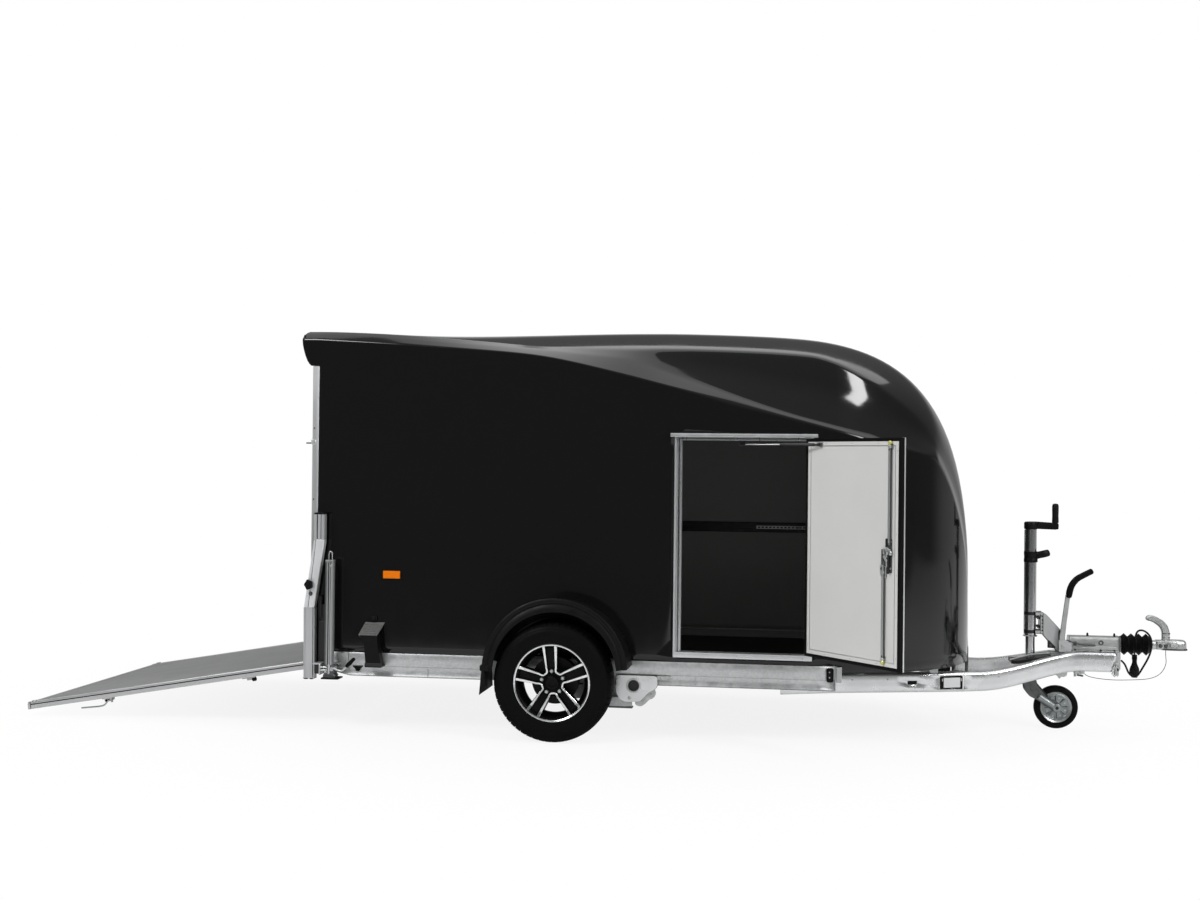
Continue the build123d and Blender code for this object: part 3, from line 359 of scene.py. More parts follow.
def shrink(outline, distance):
    """A closed outline moved inwards."""
    count = len(outline)
    area = sum(outline[i - 1][0] * outline[i][1] - outline[i][0] * outline[i - 1][1] for i in range(count))
    distance *= 1 if area > 0 else -1
    result = []
    for i in range(count):
        here = Vector(outline[i])
        a = (here - Vector(outline[i - 1])).normalized()
        b = (Vector(outline[(i + 1) % count]) - here).normalized()
        normal = Vector((-a.y - b.y, a.x + b.x))
        result.append(tuple(here + normal * distance / max(0.4, 1 + a.dot(b))))
    return result


def oblong(a0, a1, b0, b1, corner, steps=4):
    return soften([(a0, b0), (a1, b0), (a1, b1), (a0, b1)], corner, steps)


# ---------------------------------------------------------------- body shell
HALF, WALL = 780.0, 25.0  # half the body's width, and the wall's thickness
REAR_X, NOSE_START_X, NOSE_X = -1290.0, 1250.0, 2105.0
RAIL_TOP_Z, SKIRT_Z, RAIL_FRONT_X = 401.0, 365.0, 1392.0
DOOR_X0, DOOR_X1, DOOR_Z0, DOOR_Z1 = 585.0, 1277.0, 423.0, 1533.0
HOLE_LOW_Z, HOLE_TOP_Z = 433.0, 1530.0  # the door's hole in the wall, inside its frame
HOOD_Z, HOOD_STEPS = 1884.5, 6  # lower edge of the hood over the rear frame, and its rows of cells
ROOF_POWER = 3.55  # how square the roof's line is where it turns down to the nose
CREASE_DROP = 0.4  # how far the crease comes down for each millimetre of inset


def half_width(x):
    t = clamp((x - NOSE_START_X) / (NOSE_X - NOSE_START_X))
    return HALF * sqrt(1 - t * t)


def crown_z(x):
    """The roof's height on the centre line."""
    top = 2110 - 36 * smooth((350 - x) / 1500) - 17 * smooth((x - 450) / 750)
    t = clamp((x - 700) / (NOSE_X - 700))
    return SKIRT_Z + (top - SKIRT_Z) * (1 - t ** ROOF_POWER) ** (1 / ROOF_POWER)


def dome_edge_z(x):
    return crown_z(x) - 8 - 119 * smooth((x + 1300) / 1700) - 73 * smooth((x - 1250) / 480)


def crease_z(x):
    """The height of the line where the flat side ends, which falls towards the nose."""
    run = x + 80
    turn = (hypot(run, 200) + run) / 2
    return min(1954.6 - 0.06 * run - 0.202 * turn, dome_edge_z(x) - 18 - 90 * smooth((x - 300) / 900))


def crease_reach(x):
    return 9 + 60 * smooth((x - 500) / 1000)


def upper_section(x, inset):
    """Half of the section above the crease, from the crease to the centre line: ledge, scoop, dome edge, crown."""
    w = half_width(x)
    scale = w / HALF
    rise = 20 + 60 * smooth((x + 900) / 1300) - 60 * smooth((x - 300) / 950)
    ledge = (1.2 * rise + 2) * scale
    dome = w * (0.945 - 0.165 * smooth((x + 1000) / 1200))
    crease, edge, top = crease_z(x), dome_edge_z(x), crown_z(x) - inset
    even = (edge - crease) * (ledge / (w - dome)) ** 0.85
    scoop = smooth((x - 250) / 300)
    rise = min(even + (rise - even) * scoop, 0.45 * (edge - crease) + 1000 * (1 - scoop))
    hollow = 16 * smooth((x - 380) / 400) * scale
    start = (w - inset, crease - 60 - CREASE_DROP * inset)
    corner = (w - inset, crease - CREASE_DROP * inset)
    shelf = (w - ledge - inset, crease + rise - 0.7 * inset)
    rim = (dome - 0.7 * inset, edge - 0.8 * inset)
    middle = ((shelf[0] + rim[0]) / 2 - hollow, (shelf[1] + rim[1]) / 2 - 0.35 * hollow)
    height = top - rim[1]
    radius = (rim[0] ** 2 + height ** 2) / (2 * height) if rim[0] > 1 else 1e6
    steps = 14
    arc = []
    for k in range(1, steps + 1):
        y = rim[0] * (1 - k / steps)
        arc.append((y, top - radius + sqrt(max(radius ** 2 - y * y, 0))))
    late = smooth((x - 1250) / 350)
    radii = [0, crease_reach(x), 16 + 14 * late, 60, 30 + 25 * late, 0]
    bent = rounded([start, corner, shelf, middle, rim, arc[0]], radii, 5)
    return bent[1:] + arc[1:]


def side_rows(x, bottom, inset):
    """Heights of the mesh rows on the flat side; the door's edges and the hood's lower edge are on rows."""
    top = crease_z(x) - CREASE_DROP * inset - min(crease_reach(x), 27)
    high = min(HOLE_TOP_Z, top - 25)
    middle = [HOLE_LOW_Z + (high - HOLE_LOW_Z) * k / 10 for k in range(11)]
    hood = (HOOD_Z - 0.5 - HOLE_TOP_Z) / (crease_z(REAR_X) - 9 - HOLE_TOP_Z)
    shares = (0.25, 0.5, hood, hood + 0.004, 0.78, 0.84, 0.9, 0.95)
    return [bottom] + middle + [high + (top - high) * f for f in shares]


def rear_x(z):
    """Side view of the hood's rear end: it bulges back over the rear frame."""
    if z < HOOD_Z:
        return REAR_X
    outline = [(HOOD_Z, -1322), (1892, -1334), (1915, -1346), (1950, -1359), (1985, -1368), (2012, -1371.5),
               (2030, -1371), (2048, -1366), (2060, -1356), (2069, -1342), (2080, -1318)]
    for (z0, x0), (z1, x1) in zip(outline, outline[1:]):
        if z <= z1:
            return x0 + (x1 - x0) * (z - z0) / (z1 - z0)
    return -1310.0


def shell_stations():
    rear = [-1290, -1276, -1250, -1200, -1130, -1050]
    middle = sorted(set([-1000 + 50 * k for k in range(31)] + [DOOR_X0 + 10, 640]) - {550, 600})
    front = [700, 760, 820, 880, 940, 1000, 1060, 1120, 1180, 1230, DOOR_X1 - 10]
    turn = [NOSE_START_X + (NOSE_X - NOSE_START_X) * sin(radians(a)) for a in range(3, 90, 3)]
    low = [x for x in turn if DOOR_X1 + 5 < x < RAIL_FRONT_X - 12]
    high = [x for x in turn if x > RAIL_FRONT_X + 12]
    return rear + middle + front + low + [RAIL_FRONT_X - 0.5, RAIL_FRONT_X + 0.5] + high + [NOSE_X - 0.3]


def shell_grid(inset, stations):
    """Rows of points from the right bottom edge over the roof to the left bottom edge, one list per station."""
    grid = []
    for x in stations:
        bottom = RAIL_TOP_Z if x < RAIL_FRONT_X else SKIRT_Z
        half = [(half_width(x) - inset, z) for z in side_rows(x, bottom, inset)] + upper_section(x, inset)
        grid.append([(x, -y, z) for y, z in half] + [(x, y, z) for y, z in half[-2::-1]])
    return grid


def in_door(rows, i, j):
    (x0, y, z0), x1, z1 = rows[i][j], rows[i + 1][j][0], rows[i][j + 1][2]
    return DOOR_X0 < (x0 + x1) / 2 < DOOR_X1 and y < -700 and HOLE_LOW_Z < (z0 + z1) / 2 < HOLE_TOP_Z


def make_shell():
    """The outer skin with its hood."""
    grid = shell_grid(0, shell_stations())
    hood = []
    for k in range(HOOD_STEPS):
        hood.append([(rear_x(z) + (REAR_X - rear_x(z)) * k / HOOD_STEPS, y, z) for x, y, z in grid[0]])

    def left_open(rows, i, j):
        below = i < HOOD_STEPS and max(rows[i][j][2], rows[i][j + 1][2]) < HOOD_Z + 0.1
        return below or in_door(rows, i, j)
    sheet("body_shell", [hood + grid], 5, "black_gelcoat", left_open,
          nodes=("body_roof", "body_side_right", "body_side_left", "body_nose"))


def make_visor():
    """The hood's rear face, which runs across the trailer between the two sides, and its lower lip."""
    rows, edge = [], upper_section(REAR_X, 0)
    ends = [HALF - 25, HALF - 8, HALF - 2]
    for y in [-y for y in ends[::-1]] + [-700 + 100 * k for k in range(15)] + ends:
        top = next(z for reach, z in edge if reach <= abs(y) + 0.01) - 1.5
        heights = [1886 + (top - 1886) * k / 14 for k in range(15)]
        rows.append([(REAR_X, y, 1888), (-1312, y, 1886)] + [(rear_x(z) + 1.5, y, z) for z in heights])
    sheet("body_visor", [rows], 4, "black_gelcoat")


make_shell()
make_visor()
lining = shell_grid(WALL - 4, [x for x in shell_stations() if x < 2078])
sheet("body_lining", [lining], 4, "inner_wall", in_door)


# ---------------------------------------------------------------- shapes
class Shape:
    """Closed forms gathered in one mesh, in drawing-frame millimetres; turn is applied to each form put in.

    Every y given to a method is an outward distance: it is counted from base, towards side (1 left, -1 right).
    """

    def __init__(self, turn=Matrix.Identity(4), base=0.0):
        self.bm = bmesh.new()
        self.turn, self.side, self.base = turn, 1, base

    def y(self, reach):
        return self.side * (self.base + reach)

    def point(self, place):
        return Vector((place[0], self.y(place[1]), place[2]))

    def rings(self, loops, m=0, closed=False):
        """A skin over equal loops, closed or with flat ends; m is a slot, one for each step, or a function."""
        count, last = len(loops[0]), len(loops) - 1
        pick = m if callable(m) else lambda i, j: m if isinstance(m, int) else m[i]
        faces = []
        for i in range(last + closed):
            a, b = i * count, (i + 1) % (last + 1) * count
            for j in range(count):
                k = (j + 1) % count
                faces.append(((a + j, a + k, b + k, b + j), pick(i, j)))
        if not closed:
            faces.append((range(count), pick(0, 0)))
            faces.append((range(last * count, last * count + count), pick(last - 1, 0)))
        made = [self.bm.verts.new(self.turn @ Vector(p)) for loop in loops for p in loop]
        for corners, slot in faces:
            self.bm.faces.new([made[i] for i in corners]).material_index = slot

    def lathe(self, profile, origin, axis, m=0, sides=40, closed=False, warp=None, angles=None):
        z = Vector((axis[0], self.side * axis[1], axis[2])).normalized()
        x = Vector((0, 0, 1)) if abs(z.z) < 0.9 else Vector((1, 0, 0))
        x = (x - z * x.dot(z)).normalized()
        y = z.cross(x)
        loops = []
        for n, (radius, s) in enumerate(profile):
            loop = []
            for k, angle in enumerate(angles or [2 * pi * k / sides for k in range(sides)]):
                r, t = warp(n, k, radius, s) if warp else (radius, s)
                loop.append(self.point(origin) + z * t + (x * cos(angle) + y * sin(angle)) * r)
            loops.append(loop)
        self.rings(loops, m, closed)

    def rod(self, start, end, radius, m=0, sides=20, edge=1.0):
        way = Vector(end) - Vector(start)
        reach = way.length
        profile = [(radius - edge, 0), (radius, edge), (radius, reach - edge), (radius - edge, reach)]
        self.lathe(profile, start, way, m, sides)

    def pipe(self, start, end, radius, wall, m=0, sides=28):
        way = Vector(end) - Vector(start)
        r, w, l = radius, wall, way.length
        profile = [(r - 0.5, 0), (r, 0.5), (r, l - 0.5), (r - 0.5, l), (r - w, l), (r - w, 0)]
        self.lathe(profile, start, way, m, sides, True)

    def pin(self, x, z, y0, y1, *sizes):
        self.rod((x, y0, z), (x, y1, z), *sizes)

    def prism(self, outline, lo, hi, m=0, edge=1.0, rim=None, plane="xz", soft=0):
        """An outline in one plane pulled from lo to hi, with chamfered ends; rim is the slot of its walls."""
        outline = soften(outline, soft) if soft else outline
        def lift(points, level):
            if plane == "xz":
                return [(a, self.y(level), b) for a, b in points]
            return [(a, self.y(b), level) if plane == "xy" else (level, self.y(a), b) for a, b in points]
        step = edge if hi > lo else -edge
        inner = shrink(outline, edge)
        self.rings([lift(inner, lo), lift(outline, lo + step), lift(outline, hi - step), lift(inner, hi)],
                   [m, m if rim is None else rim, m])

    def plate(self, a0, a1, b0, b1, corner, *numbers, **more):
        self.prism(oblong(a0, a1, b0, b1, corner), *numbers, **more)

    def box(self, x0, x1, y0, y1, z0, z1, m=0, edge=1.5):
        self.prism(oblong(x0, x1, z0, z1, edge, 1), y0, y1, m, edge)

    def boxes(self, *rows):
        for row in rows:
            self.box(*row)

    def tube(self, points, radius, m=0, sides=12, reach=0.0, steps=5, flat=1.0, up=None, edge=0.6):
        """A round bar along the points, bent over reach at each; radius is a number or a function of 0 to 1."""
        line = [self.point(p) for p in points]
        if reach:
            line = [Vector(p) for p in rounded([tuple(p) for p in line], [reach] * len(line), steps)]
        line = [p for i, p in enumerate(line) if i == 0 or (p - line[i - 1]).length > 0.05]
        total = sum((b - a).length for a, b in zip(line, line[1:]))
        loops, gone, side = [], 0.0, None
        for i, p in enumerate(line):
            way = (line[min(i + 1, len(line) - 1)] - line[max(i - 1, 0)]).normalized()
            gone += (p - line[i - 1]).length if i else 0
            if side is None:
                side = way.orthogonal() if up is None else way.cross(Vector(up))
            side = (side - way * side.dot(way)).normalized()
            other = way.cross(side)
            r = radius(gone / total) if callable(radius) else radius
            spots = [(r, 0)]
            if i == 0:
                spots.insert(0, (r - edge, -edge))
            if i == len(line) - 1:
                spots.append((r - edge, edge))
            for size, shift in spots:
                loops.append([p + way * shift + side * cos(2 * pi * k / sides) * size * flat
                              + other * sin(2 * pi * k / sides) * size for k in range(sides)])
        self.rings(loops, m)

    def bolt(self, place, axis, size=8.0, m=0, height=6.0):
        """A hexagon head on a washer, with the end of its shank."""
        place, z = Vector(place), Vector(axis).normalized()
        top = place + z * (height + 1.6)
        self.rod(place, place + z * 1.6, size * 1.35, m, 16, 0.4)
        self.rod(place + z * 1.6, top, size, m, 6, 0.8)
        self.rod(top, place + z * (height + 4.5), size * 0.5, m, 12, 0.8)

    def bolts(self, axis, *rows):
        for place, *sizes in rows:
            self.bolt(place, axis, *sizes)

    def done(self, name, slots, body="root", nodes=(), smooth_angle=32):
        bmesh.ops.recalc_face_normals(self.bm, faces=self.bm.faces)
        for vert in self.bm.verts:
            vert.co = at(*vert.co)
        mesh = bpy.data.meshes.new(name)
        self.bm.to_mesh(mesh)
        self.bm.free()
        finish_piece(add_object(name, mesh), slots, body, nodes, smooth_angle)


def ring(centre, radius, count, offset=0.0):
    """Evenly spaced points round a centre, from angle offset on."""
    turns = [2 * pi * (k + offset) / count for k in range(count)]
    return [(centre[0] + radius * cos(a), centre[1] + radius * sin(a)) for a in turns]


# ---------------------------------------------------------------- road wheels
WHEEL_Y, WHEEL_Z = 879.5, 300.0
BLOCKS = 56  # tread blocks round a tyre


def mirrored(profile):
    """A lathe profile, carried on through its mirror image."""
    return profile + [(r, -s) for r, s in profile[:0:-1]]


def make_tyre(name, side):
    half = [(300, 0), (300, 9), (294.5, 10.5), (294.5, 16), (300, 17.5), (299.8, 33), (294.5, 34.5), (294.5, 40),
            (299.2, 41.5), (298.4, 50), (295.5, 59), (290.5, 67), (285.5, 71.5), (283.5, 71.5), (281, 75.5),
            (270, 81.5), (267, 81.5), (264, 84), (255, 86), (240, 87.4), (224, 87), (220, 86), (210, 84.6),
            (204, 85.6), (199, 84.6), (195.5, 80), (193, 76), (184, 72), (179, 66)]
    marks = [(k + part, groove) for k in range(BLOCKS) for part, groove in ((0, 0), (0.84, 0), (0.87, 1), (0.97, 1))]

    def warp(n, k, r, s):
        """The shoulder's and the middle row's cross grooves."""
        if marks[k][1] and 41 < abs(s) < 70 and r > 286:
            return r - 5.0, s
        if marks[(k + 2 * BLOCKS) % len(marks)][1] and 17 < abs(s) < 33.5 and r > 299:
            return r - 3.5, s
        return r, s
    tyre = Shape()
    tyre.side = side
    tyre.lathe(mirrored(half), (0, WHEEL_Y, WHEEL_Z), (0, 1, 0), 0, closed=True, warp=warp,
               angles=[2 * pi * mark / BLOCKS for mark, groove in marks])
    tyre.done(f"tyre_tread_{name}", ["tyre_rubber"], f"wheel_{name}", [f"tyre_{name}"], 28)


def make_rim(name, side):
    """Five double spokes with diamond-cut edges, black pockets between, and a bright outer lip."""
    rim = Shape()
    rim.side = side
    centre, axis = (0, WHEEL_Y, WHEEL_Z), (0, 1, 0)
    lip = [(183, 70), (184.5, 74.5), (190, 77.2), (194.3, 76.2), (194.6, 72), (181, 65), (177, 40), (164, 20),
           (164, -20), (175, -50), (179, -65), (193, -72), (193, -76), (186, -75), (175, -62), (170, -45),
           (157, -18), (157, 20), (168, 40), (173, 56), (179, 62), (183, 63)]
    rim.lathe(lip, centre, axis, lambda i, j: int(i < 4), 96, True)
    rim.lathe([(24, 20), (70, 20), (70, 30), (58, 44), (56, 50), (42, 51), (40, 47), (37, 47), (24, 47)], centre,
              axis, 0, 48)
    rim.lathe([(20, 46), (35, 46), (35.5, 54), (33, 58.5), (27, 60.5), (24, 59.6), (10, 60.2)], centre, axis, 0, 40)

    def face(v):
        """How far the spokes' face stands out at distance v from the axle."""
        return 64.5 - 9 * (1 - v / 188) ** 1.3 + 8 * smooth((v - 168) / 18)

    def place(u, v, s, angle):
        """A point of the wheel face: u across and v along a spoke, s outward."""
        return ((u * cos(angle) + v * sin(angle)) * -side, WHEEL_Y + s, WHEEL_Z + v * cos(angle) - u * sin(angle))

    def put(x, y, z):
        return (x, side * y, z)
    for pair in range(5):
        angle = radians(72 * pair - 4.5)
        loops = []
        for v in (46, 58, 66, 78, 100, 125, 150, 170, 181, 186.5):
            grow = clamp((v - 60) / 128)
            strip = 8.5 + 6 * grow
            w = 21.0 if v < 62 else 23 + 8 * grow + strip / 2
            top, floor = face(v), face(v) - (17 if v < 178 else 9)
            foot = top - (36 if v > 60 else 24)
            half = [(w + 4, foot), (w, top - 1), (w - 1.2, top), (w - strip + 0.8, top), (w - strip, top - 1),
                    (w - strip - 2.5, floor)]
            section = [(-u, s) for u, s in half] + [(0, floor - 0.5)] + half[::-1]
            loops.append([put(*place(u, v, s, angle)) for u, s in section])
        rim.rings(loops, lambda i, j: int(j in (1, 2, 9, 10) and i > 1))
        # the bright edge turns round the foot of the window into the next spoke
        middle = angle + radians(36)
        path = rounded([(-26.2, 80), (-19.5, 64), (-11.5, 53.5), (11.5, 53.5), (19.5, 64), (26.2, 80)],
                       [0, 8, 8, 8, 8, 0], 4)
        loops = []
        for i, point in enumerate(path):
            way = (Vector(path[min(i + 1, len(path) - 1)]) - Vector(path[max(i - 1, 0)])).normalized()
            here, normal = Vector(point), Vector((-way.y, way.x))
            top = face(here.length) + 0.3
            strip = ((-5.6, top - 22), (-4.4, top - 0.8), (-3.6, top), (3.6, top), (4.4, top - 0.8), (5.6, top - 22))
            loops.append([put(*place(*(here + normal * offset), s, middle)) for offset, s in strip])
        rim.rings(loops, lambda i, j: int(j in (1, 2, 3)))
        # wheel bolt in its pocket
        rim.lathe([(11, 0), (14.5, 0), (14.5, 11), (12, 13), (11, 12)], place(0, 56, 42, angle), axis, 0, 24, True)
        rim.rod(place(0, 56, 44, angle), place(0, 56, 52, angle), 9.8, 2)
        rim.rod(place(0, 56, 52, angle), place(0, 56, 60, angle), 8.2, 2, 6, 1.6)
    valve = radians(39)
    rim.rod(place(0, 168, 40, valve), place(0, 160, 68, valve), 4, 0, 12)
    rim.done(f"alloy_rim_{name}", ["rim_black", "alloy_rim", "zinc_steel"], f"wheel_{name}", [f"rim_{name}"], 30)


def make_guard(name, side):
    """Moulded guard: top sheet, outer lip with a groove, a flap behind the wheel, and a black sheet on the wall inside
    the arch that is painted shade.
    """
    guard = Shape(base=780.0)
    guard.side = side
    cx, cz, sheet_r = 15.0, 335.0, 369.0
    loops = []
    for k in range(61):
        angle = radians(7 + 166 * k / 60)
        lip = 367 + 21 * sin(angle) ** 1.2
        inner = 312 + 6 * sin(angle)
        # The black sheet against the body wall, from just outside the tyre up to the top sheet, is painted shade that
        # darkens the wall where the guard's shadow falls.
        b = 15 * cos(angle) + 35 * sin(angle)
        flange = -b + sqrt(b * b + 309 ** 2 - 15 ** 2 - 35 ** 2)
        section = [(flange, 2), (sheet_r, 2), (sheet_r, 110), (sheet_r + 0.4 * (lip - sheet_r), 150), (lip - 3, 186),
                   (lip, 195), (lip - 1, 200), (lip - 7, 203.5), (lip - 18, 204), (lip - 23, 202), (lip - 26, 198),
                   (lip - 30, 198), (lip - 33, 201), (inner + 8, 204.5), (inner + 2, 204), (inner, 200),
                   (inner + 2, 196), (inner + 10, 195), (lip - 34, 192), (lip - 10, 190), (sheet_r - 7, 140),
                   (sheet_r - 5, 4.5), (flange, 4.5)]
        loops.append([(cx + r * cos(angle), guard.y(t), cz + r * sin(angle)) for r, t in section])
    guard.rings(loops)
    for a in (radians(93), radians(30), radians(150)):
        guard.bolt((cx + 368 * cos(a), 14, cz + 368 * sin(a)), (cos(a), 0, sin(a)), 6.5)
    x, low = cx - 373, 232.0
    flap = [(x - 4, low), (x + 26, low + 22), (x + 24, 300), (x + 20, 372), (x + 12, 376), (x + 6, 350), (x + 4, 330)]
    guard.prism(flap, 16, 200, edge=0.8)
    guard.boxes((x - 2, x + 44, 150, 203, 352, 382, 0, 4),
                *[(x - 1, x + 5, t, t + 6, low + 14, 340, 0, 0.8) for t in (45, 82, 120)])
    guard.done(f"guard_{name}", ["black_plastic"], "root", ["mudguards"] if side < 0 else [], 40)


for wheel_name, wheel_side in (("right", -1), ("left", 1)):
    make_tyre(wheel_name, wheel_side)
    make_rim(wheel_name, wheel_side)
    make_guard(wheel_name, wheel_side)


# ---------------------------------------------------------------- side door
LEAF_X0, LEAF_X1, LEAF_Z0, LEAF_Z1 = 602.0, 1260.0, 455.0, 1526.0
PIN_X, PIN_Y, OPEN_TURN = 1265.0, -796.0, radians(131)
OPEN = (Matrix.Translation((PIN_X, PIN_Y, 0)) @ Matrix.Rotation(OPEN_TURN, 4, "Z")
        @ Matrix.Translation((-PIN_X, -PIN_Y, 0)))
LEAF_BOX = (LEAF_X0, LEAF_X1, LEAF_Z0, LEAF_Z1)


def hoop(shape, box, m, profile, ends=False):
    """A profile carried round a rectangle: each point is (left and right, top, bottom, y) in from the rectangle."""
    x0, x1, z0, z1 = box
    loops = []
    for side, *more in profile:
        top, bottom, y = more if len(more) == 3 else (side, side, more[0])
        corners = ((x0 + side, z0 + bottom), (x1 - side, z0 + bottom), (x1 - side, z1 - top), (x0 + side, z1 - top))
        loops.append([(x, y, z) for x, z in corners])
    shape.rings(loops, m, not ends)


def make_door_frame():
    door = Shape()
    edges = (DOOR_X0, DOOR_X1, DOOR_Z0, DOOR_Z1)
    hoop(door, edges, 0, [
        (0, 0, 0, -779), (0, 0, 0, -785), (1.5, 0.4, 1.5, -787), (4.5, 0.8, 9, -787.4), (5.5, 1, 11, -785.6),
        (6.5, 1.2, 15, -785.6), (7.5, 1.4, 17, -787.4), (11, 1.8, 25.5, -787), (12, 2, 27, -785.5),
        (12, 2, 27, -752), (15, 6, 27.3, -752), (16, 7, 27.4, -749.5), (24, 12, 27.6, -749.5),
        (25, 13, 27.7, -752), (28, 15, 27.8, -752), (29, 16, 28, -755), (35, 19, 28, -755), (36, 20, 28, -753),
        (36, 20, 28, -727), (34, 18, 26, -726), (-8, -8, -8, -750), (-8, -8, -8, -753), (2, 2, 2, -753)])
    hoop(door, edges, 1, [(18.5, 8.5, 27.5, -750), (18.5, 8.5, 27.5, -752), (19.5, 9, 27.6, -754),
                          (21, 10, 27.7, -754), (22, 10.6, 27.8, -752), (22, 10.6, 27.8, -750)])
    drip = [(-780, 1533), (-797, 1533), (-799, 1530.5), (-802.5, 1530.5), (-803.5, 1532), (-803.5, 1543),
            (-801, 1547), (-790, 1549), (-780, 1549)]
    door.prism(drip, DOOR_X0 - 20, DOOR_X1 + 20, plane="yz")
    door.boxes((901, 941, -756, -728, 1508, 1513, 2), (906, 936, -752, -729, 1486, 1509, 2, 3))
    door.lathe([(3, 0), (7.5, 2), (9, 7), (7.5, 12), (3, 14)], (921, -738, 1488), (0, 0, 1), 2, 20)
    door.done("door_frame", ["aluminium_profile", "black_rubber", "black_steel"], "root", ["side_door_frame"])


def make_door_leaf():
    """The leaf, drawn closed and swung open: outer edging, seal, inner edging, face panel and its screws."""
    leaf = Shape(OPEN)
    hoop(leaf, LEAF_BOX, 1, [(0, -785.5), (0, -778.5), (0.8, -777.7), (1.9, -777.7), (2.6, -778.5), (2.6, -781),
                             (14, -781), (14, -786.4), (12.5, -787), (1, -786.6)])
    hoop(leaf, LEAF_BOX, 3, [(14, -781), (14, -786), (15.5, -786.6), (15.6, -786.6)], True)
    hoop(leaf, LEAF_BOX, 2, [(0.4, -778), (0.4, -757.6), (3.2, -756.4), (16.6, -756.9), (16.6, -758.4), (4, -758.5),
                             (4, -778)])
    hoop(leaf, LEAF_BOX, 2, [(2.4, -780.8), (2.6, -772), (5, -766), (10, -763.5), (15.5, -764), (17.5, -770),
                             (17.5, -780.8)])
    hoop(leaf, LEAF_BOX, 4, [(36.2, -758.6), (36.2, -757.3), (37.8, -757.0), (39.2, -757.4), (39.2, -758.6)])
    hoop(leaf, LEAF_BOX, 0, [(16, -781), (16, -759.5), (16.8, -758), (18.5, -757.5), (35.0, -757.5), (36.0, -759.6),
                             (37.4, -759.6), (38.4, -758.1)], True)
    screws = [(x, LEAF_Z0 + 60 + 190 * k) for k in range(6) for x in (LEAF_X0 + 25, LEAF_X1 - 25)]
    screws += [(LEAF_X0 + 150 + 180 * k, z) for k in range(3) for z in (LEAF_Z0 + 25, LEAF_Z1 - 25)]
    for x, z in screws:
        leaf.pin(x, z, -758, -756.4, 3.2, 4, 12, 0.6)
    leaf.done("door_leaf", ["grey_panel", "aluminium_profile", "black_rubber", "black_gelcoat", "zinc_steel"],
              "side_door", ["side_door_leaf"])


def make_door_lock():
    """Two lock rods in their guides; the upper latch's crank and lever, and the lower latch's plate and link."""
    lock = Shape(OPEN)
    a, b = LEAF_X0 + 65, LEAF_X0 + 103
    for x, z0, z1, end, cap in ((a, 1030, 1478, 1484, 1501.5), (b, 512, 960, 506, 490)):
        lock.plate(x - 9, x + 9, z0, z1, 2, -752, -747, 3, 0.8)
        lock.plate(x - 5.5, x + 5.5, z0 + 3, z1 - 3, 1, -748, -745.5, 0, 0.8)
        lock.boxes((x - 16, x + 16, -758, -755, end - 14, end + 14),
                   (x - 10, x + 10, -756, -742, end - 7, end + 7, 0, 3))
        for z in (z0 + 8, z1 - 8):
            lock.pin(x, z, -746, -743.5, 4, 3, 12, 0.6)
        for dx in (-12, 12):
            lock.pin(x + dx, end + 9, -755, -752.5, 2.6, 3, 10, 0.5)
        lock.lathe([(6, 0), (9.5, 1), (11, 5), (10, 12), (6, 15)], (x, -757.5, cap), (0, 1, 0), 1, 20)
    lock.boxes((a - 12, a + 14, -758, -754, 905, 1060, 3, 2), (a + 14, a + 24, -756, -746, 1022, 1062, 2, 2),
               (a - 4, a + 8, -750, -741, 900, 990, 2, 3), (b - 4, b + 8, -752, -742, 940, 1012, 3, 2),
               (b - 10, b + 4, -751, -743, 990, 1016, 0, 2))
    lock.prism([(a - 14, 1000), (a + 26, 1004), (a + 26, 1014), (a + 8, 1020), (a - 14, 1012)], -752, -744, 0, 1.5,
               3, soft=4)
    lock.prism([(a + 10, 948), (a + 34, 978), (a + 26, 988), (a + 2, 962)], -748, -740, 0, 1.5, 3, soft=3)
    lock.prism([(b - 18, 884), (b - 2, 872), (b + 22, 888), (b + 26, 936), (b + 4, 948), (b - 16, 930)], -757, -751,
               0, 1.5, 3, soft=5)
    lock.lathe([(4, 0), (9, 0), (10.5, 2), (10.5, 7), (8, 9), (4, 9.5)], (a - 10, -752, 996), (0, 1, 0), 0, 28)
    lock.pin(b - 2, 906, -751, -741, 8, 0, 20, 1.5)
    lock.bolts((0, 1, 0), ((b + 12, -751, 922), 5, 3, 3), ((a - 6, -754, 925), 4, 0, 2.5),
               ((a - 6, -754, 1048), 4, 0, 2.5))
    lock.done("door_lock", ["zinc_steel", "yellow_zinc", "black_steel", "dark_steel_and_edge_shade"], "side_door",
              ["side_door_lock"])


def make_stay():
    """The stay's barrel with its ball socket, and its thin bright rod."""
    eye = OPEN @ Vector((PIN_X - 116.6, PIN_Y + 55, 1495))
    way = Vector((921 - eye.x, -738 - eye.y, 0))
    reach = way.length
    way.normalize()
    barrel = Shape()
    barrel.lathe([(4.6, -7), (7.5, -7), (9, -5), (9, 5), (7.5, 7), (4.6, 7)], eye, (0, 0, 1), 0, 24, True)
    barrel.rod(eye + way * 8, eye + way * 22, 5.5, 0, 16)
    barrel.lathe([(4.4, 22), (7, 23), (8, 26), (8, 203), (7.2, 207), (6, 209), (4.5, 209.4), (4.4, 150)], eye, way,
                 0, 24, True)
    barrel.done("stay_barrel", ["black_steel"], "door_stay_cylinder", ["stay_cylinder"])
    thin = Shape()
    thin.rod(eye + way * 206, eye + way * (reach - 10), 3.6, 0, 16, 0.4)
    thin.lathe([(3.5, -13), (5.5, -12), (6, -8), (6, 2), (5, 5), (3, 6)], eye + way * reach, way, 1, 16)
    thin.done("stay_rod_bar", ["zinc_steel", "black_steel"], "door_stay_rod", ["stay_rod"])


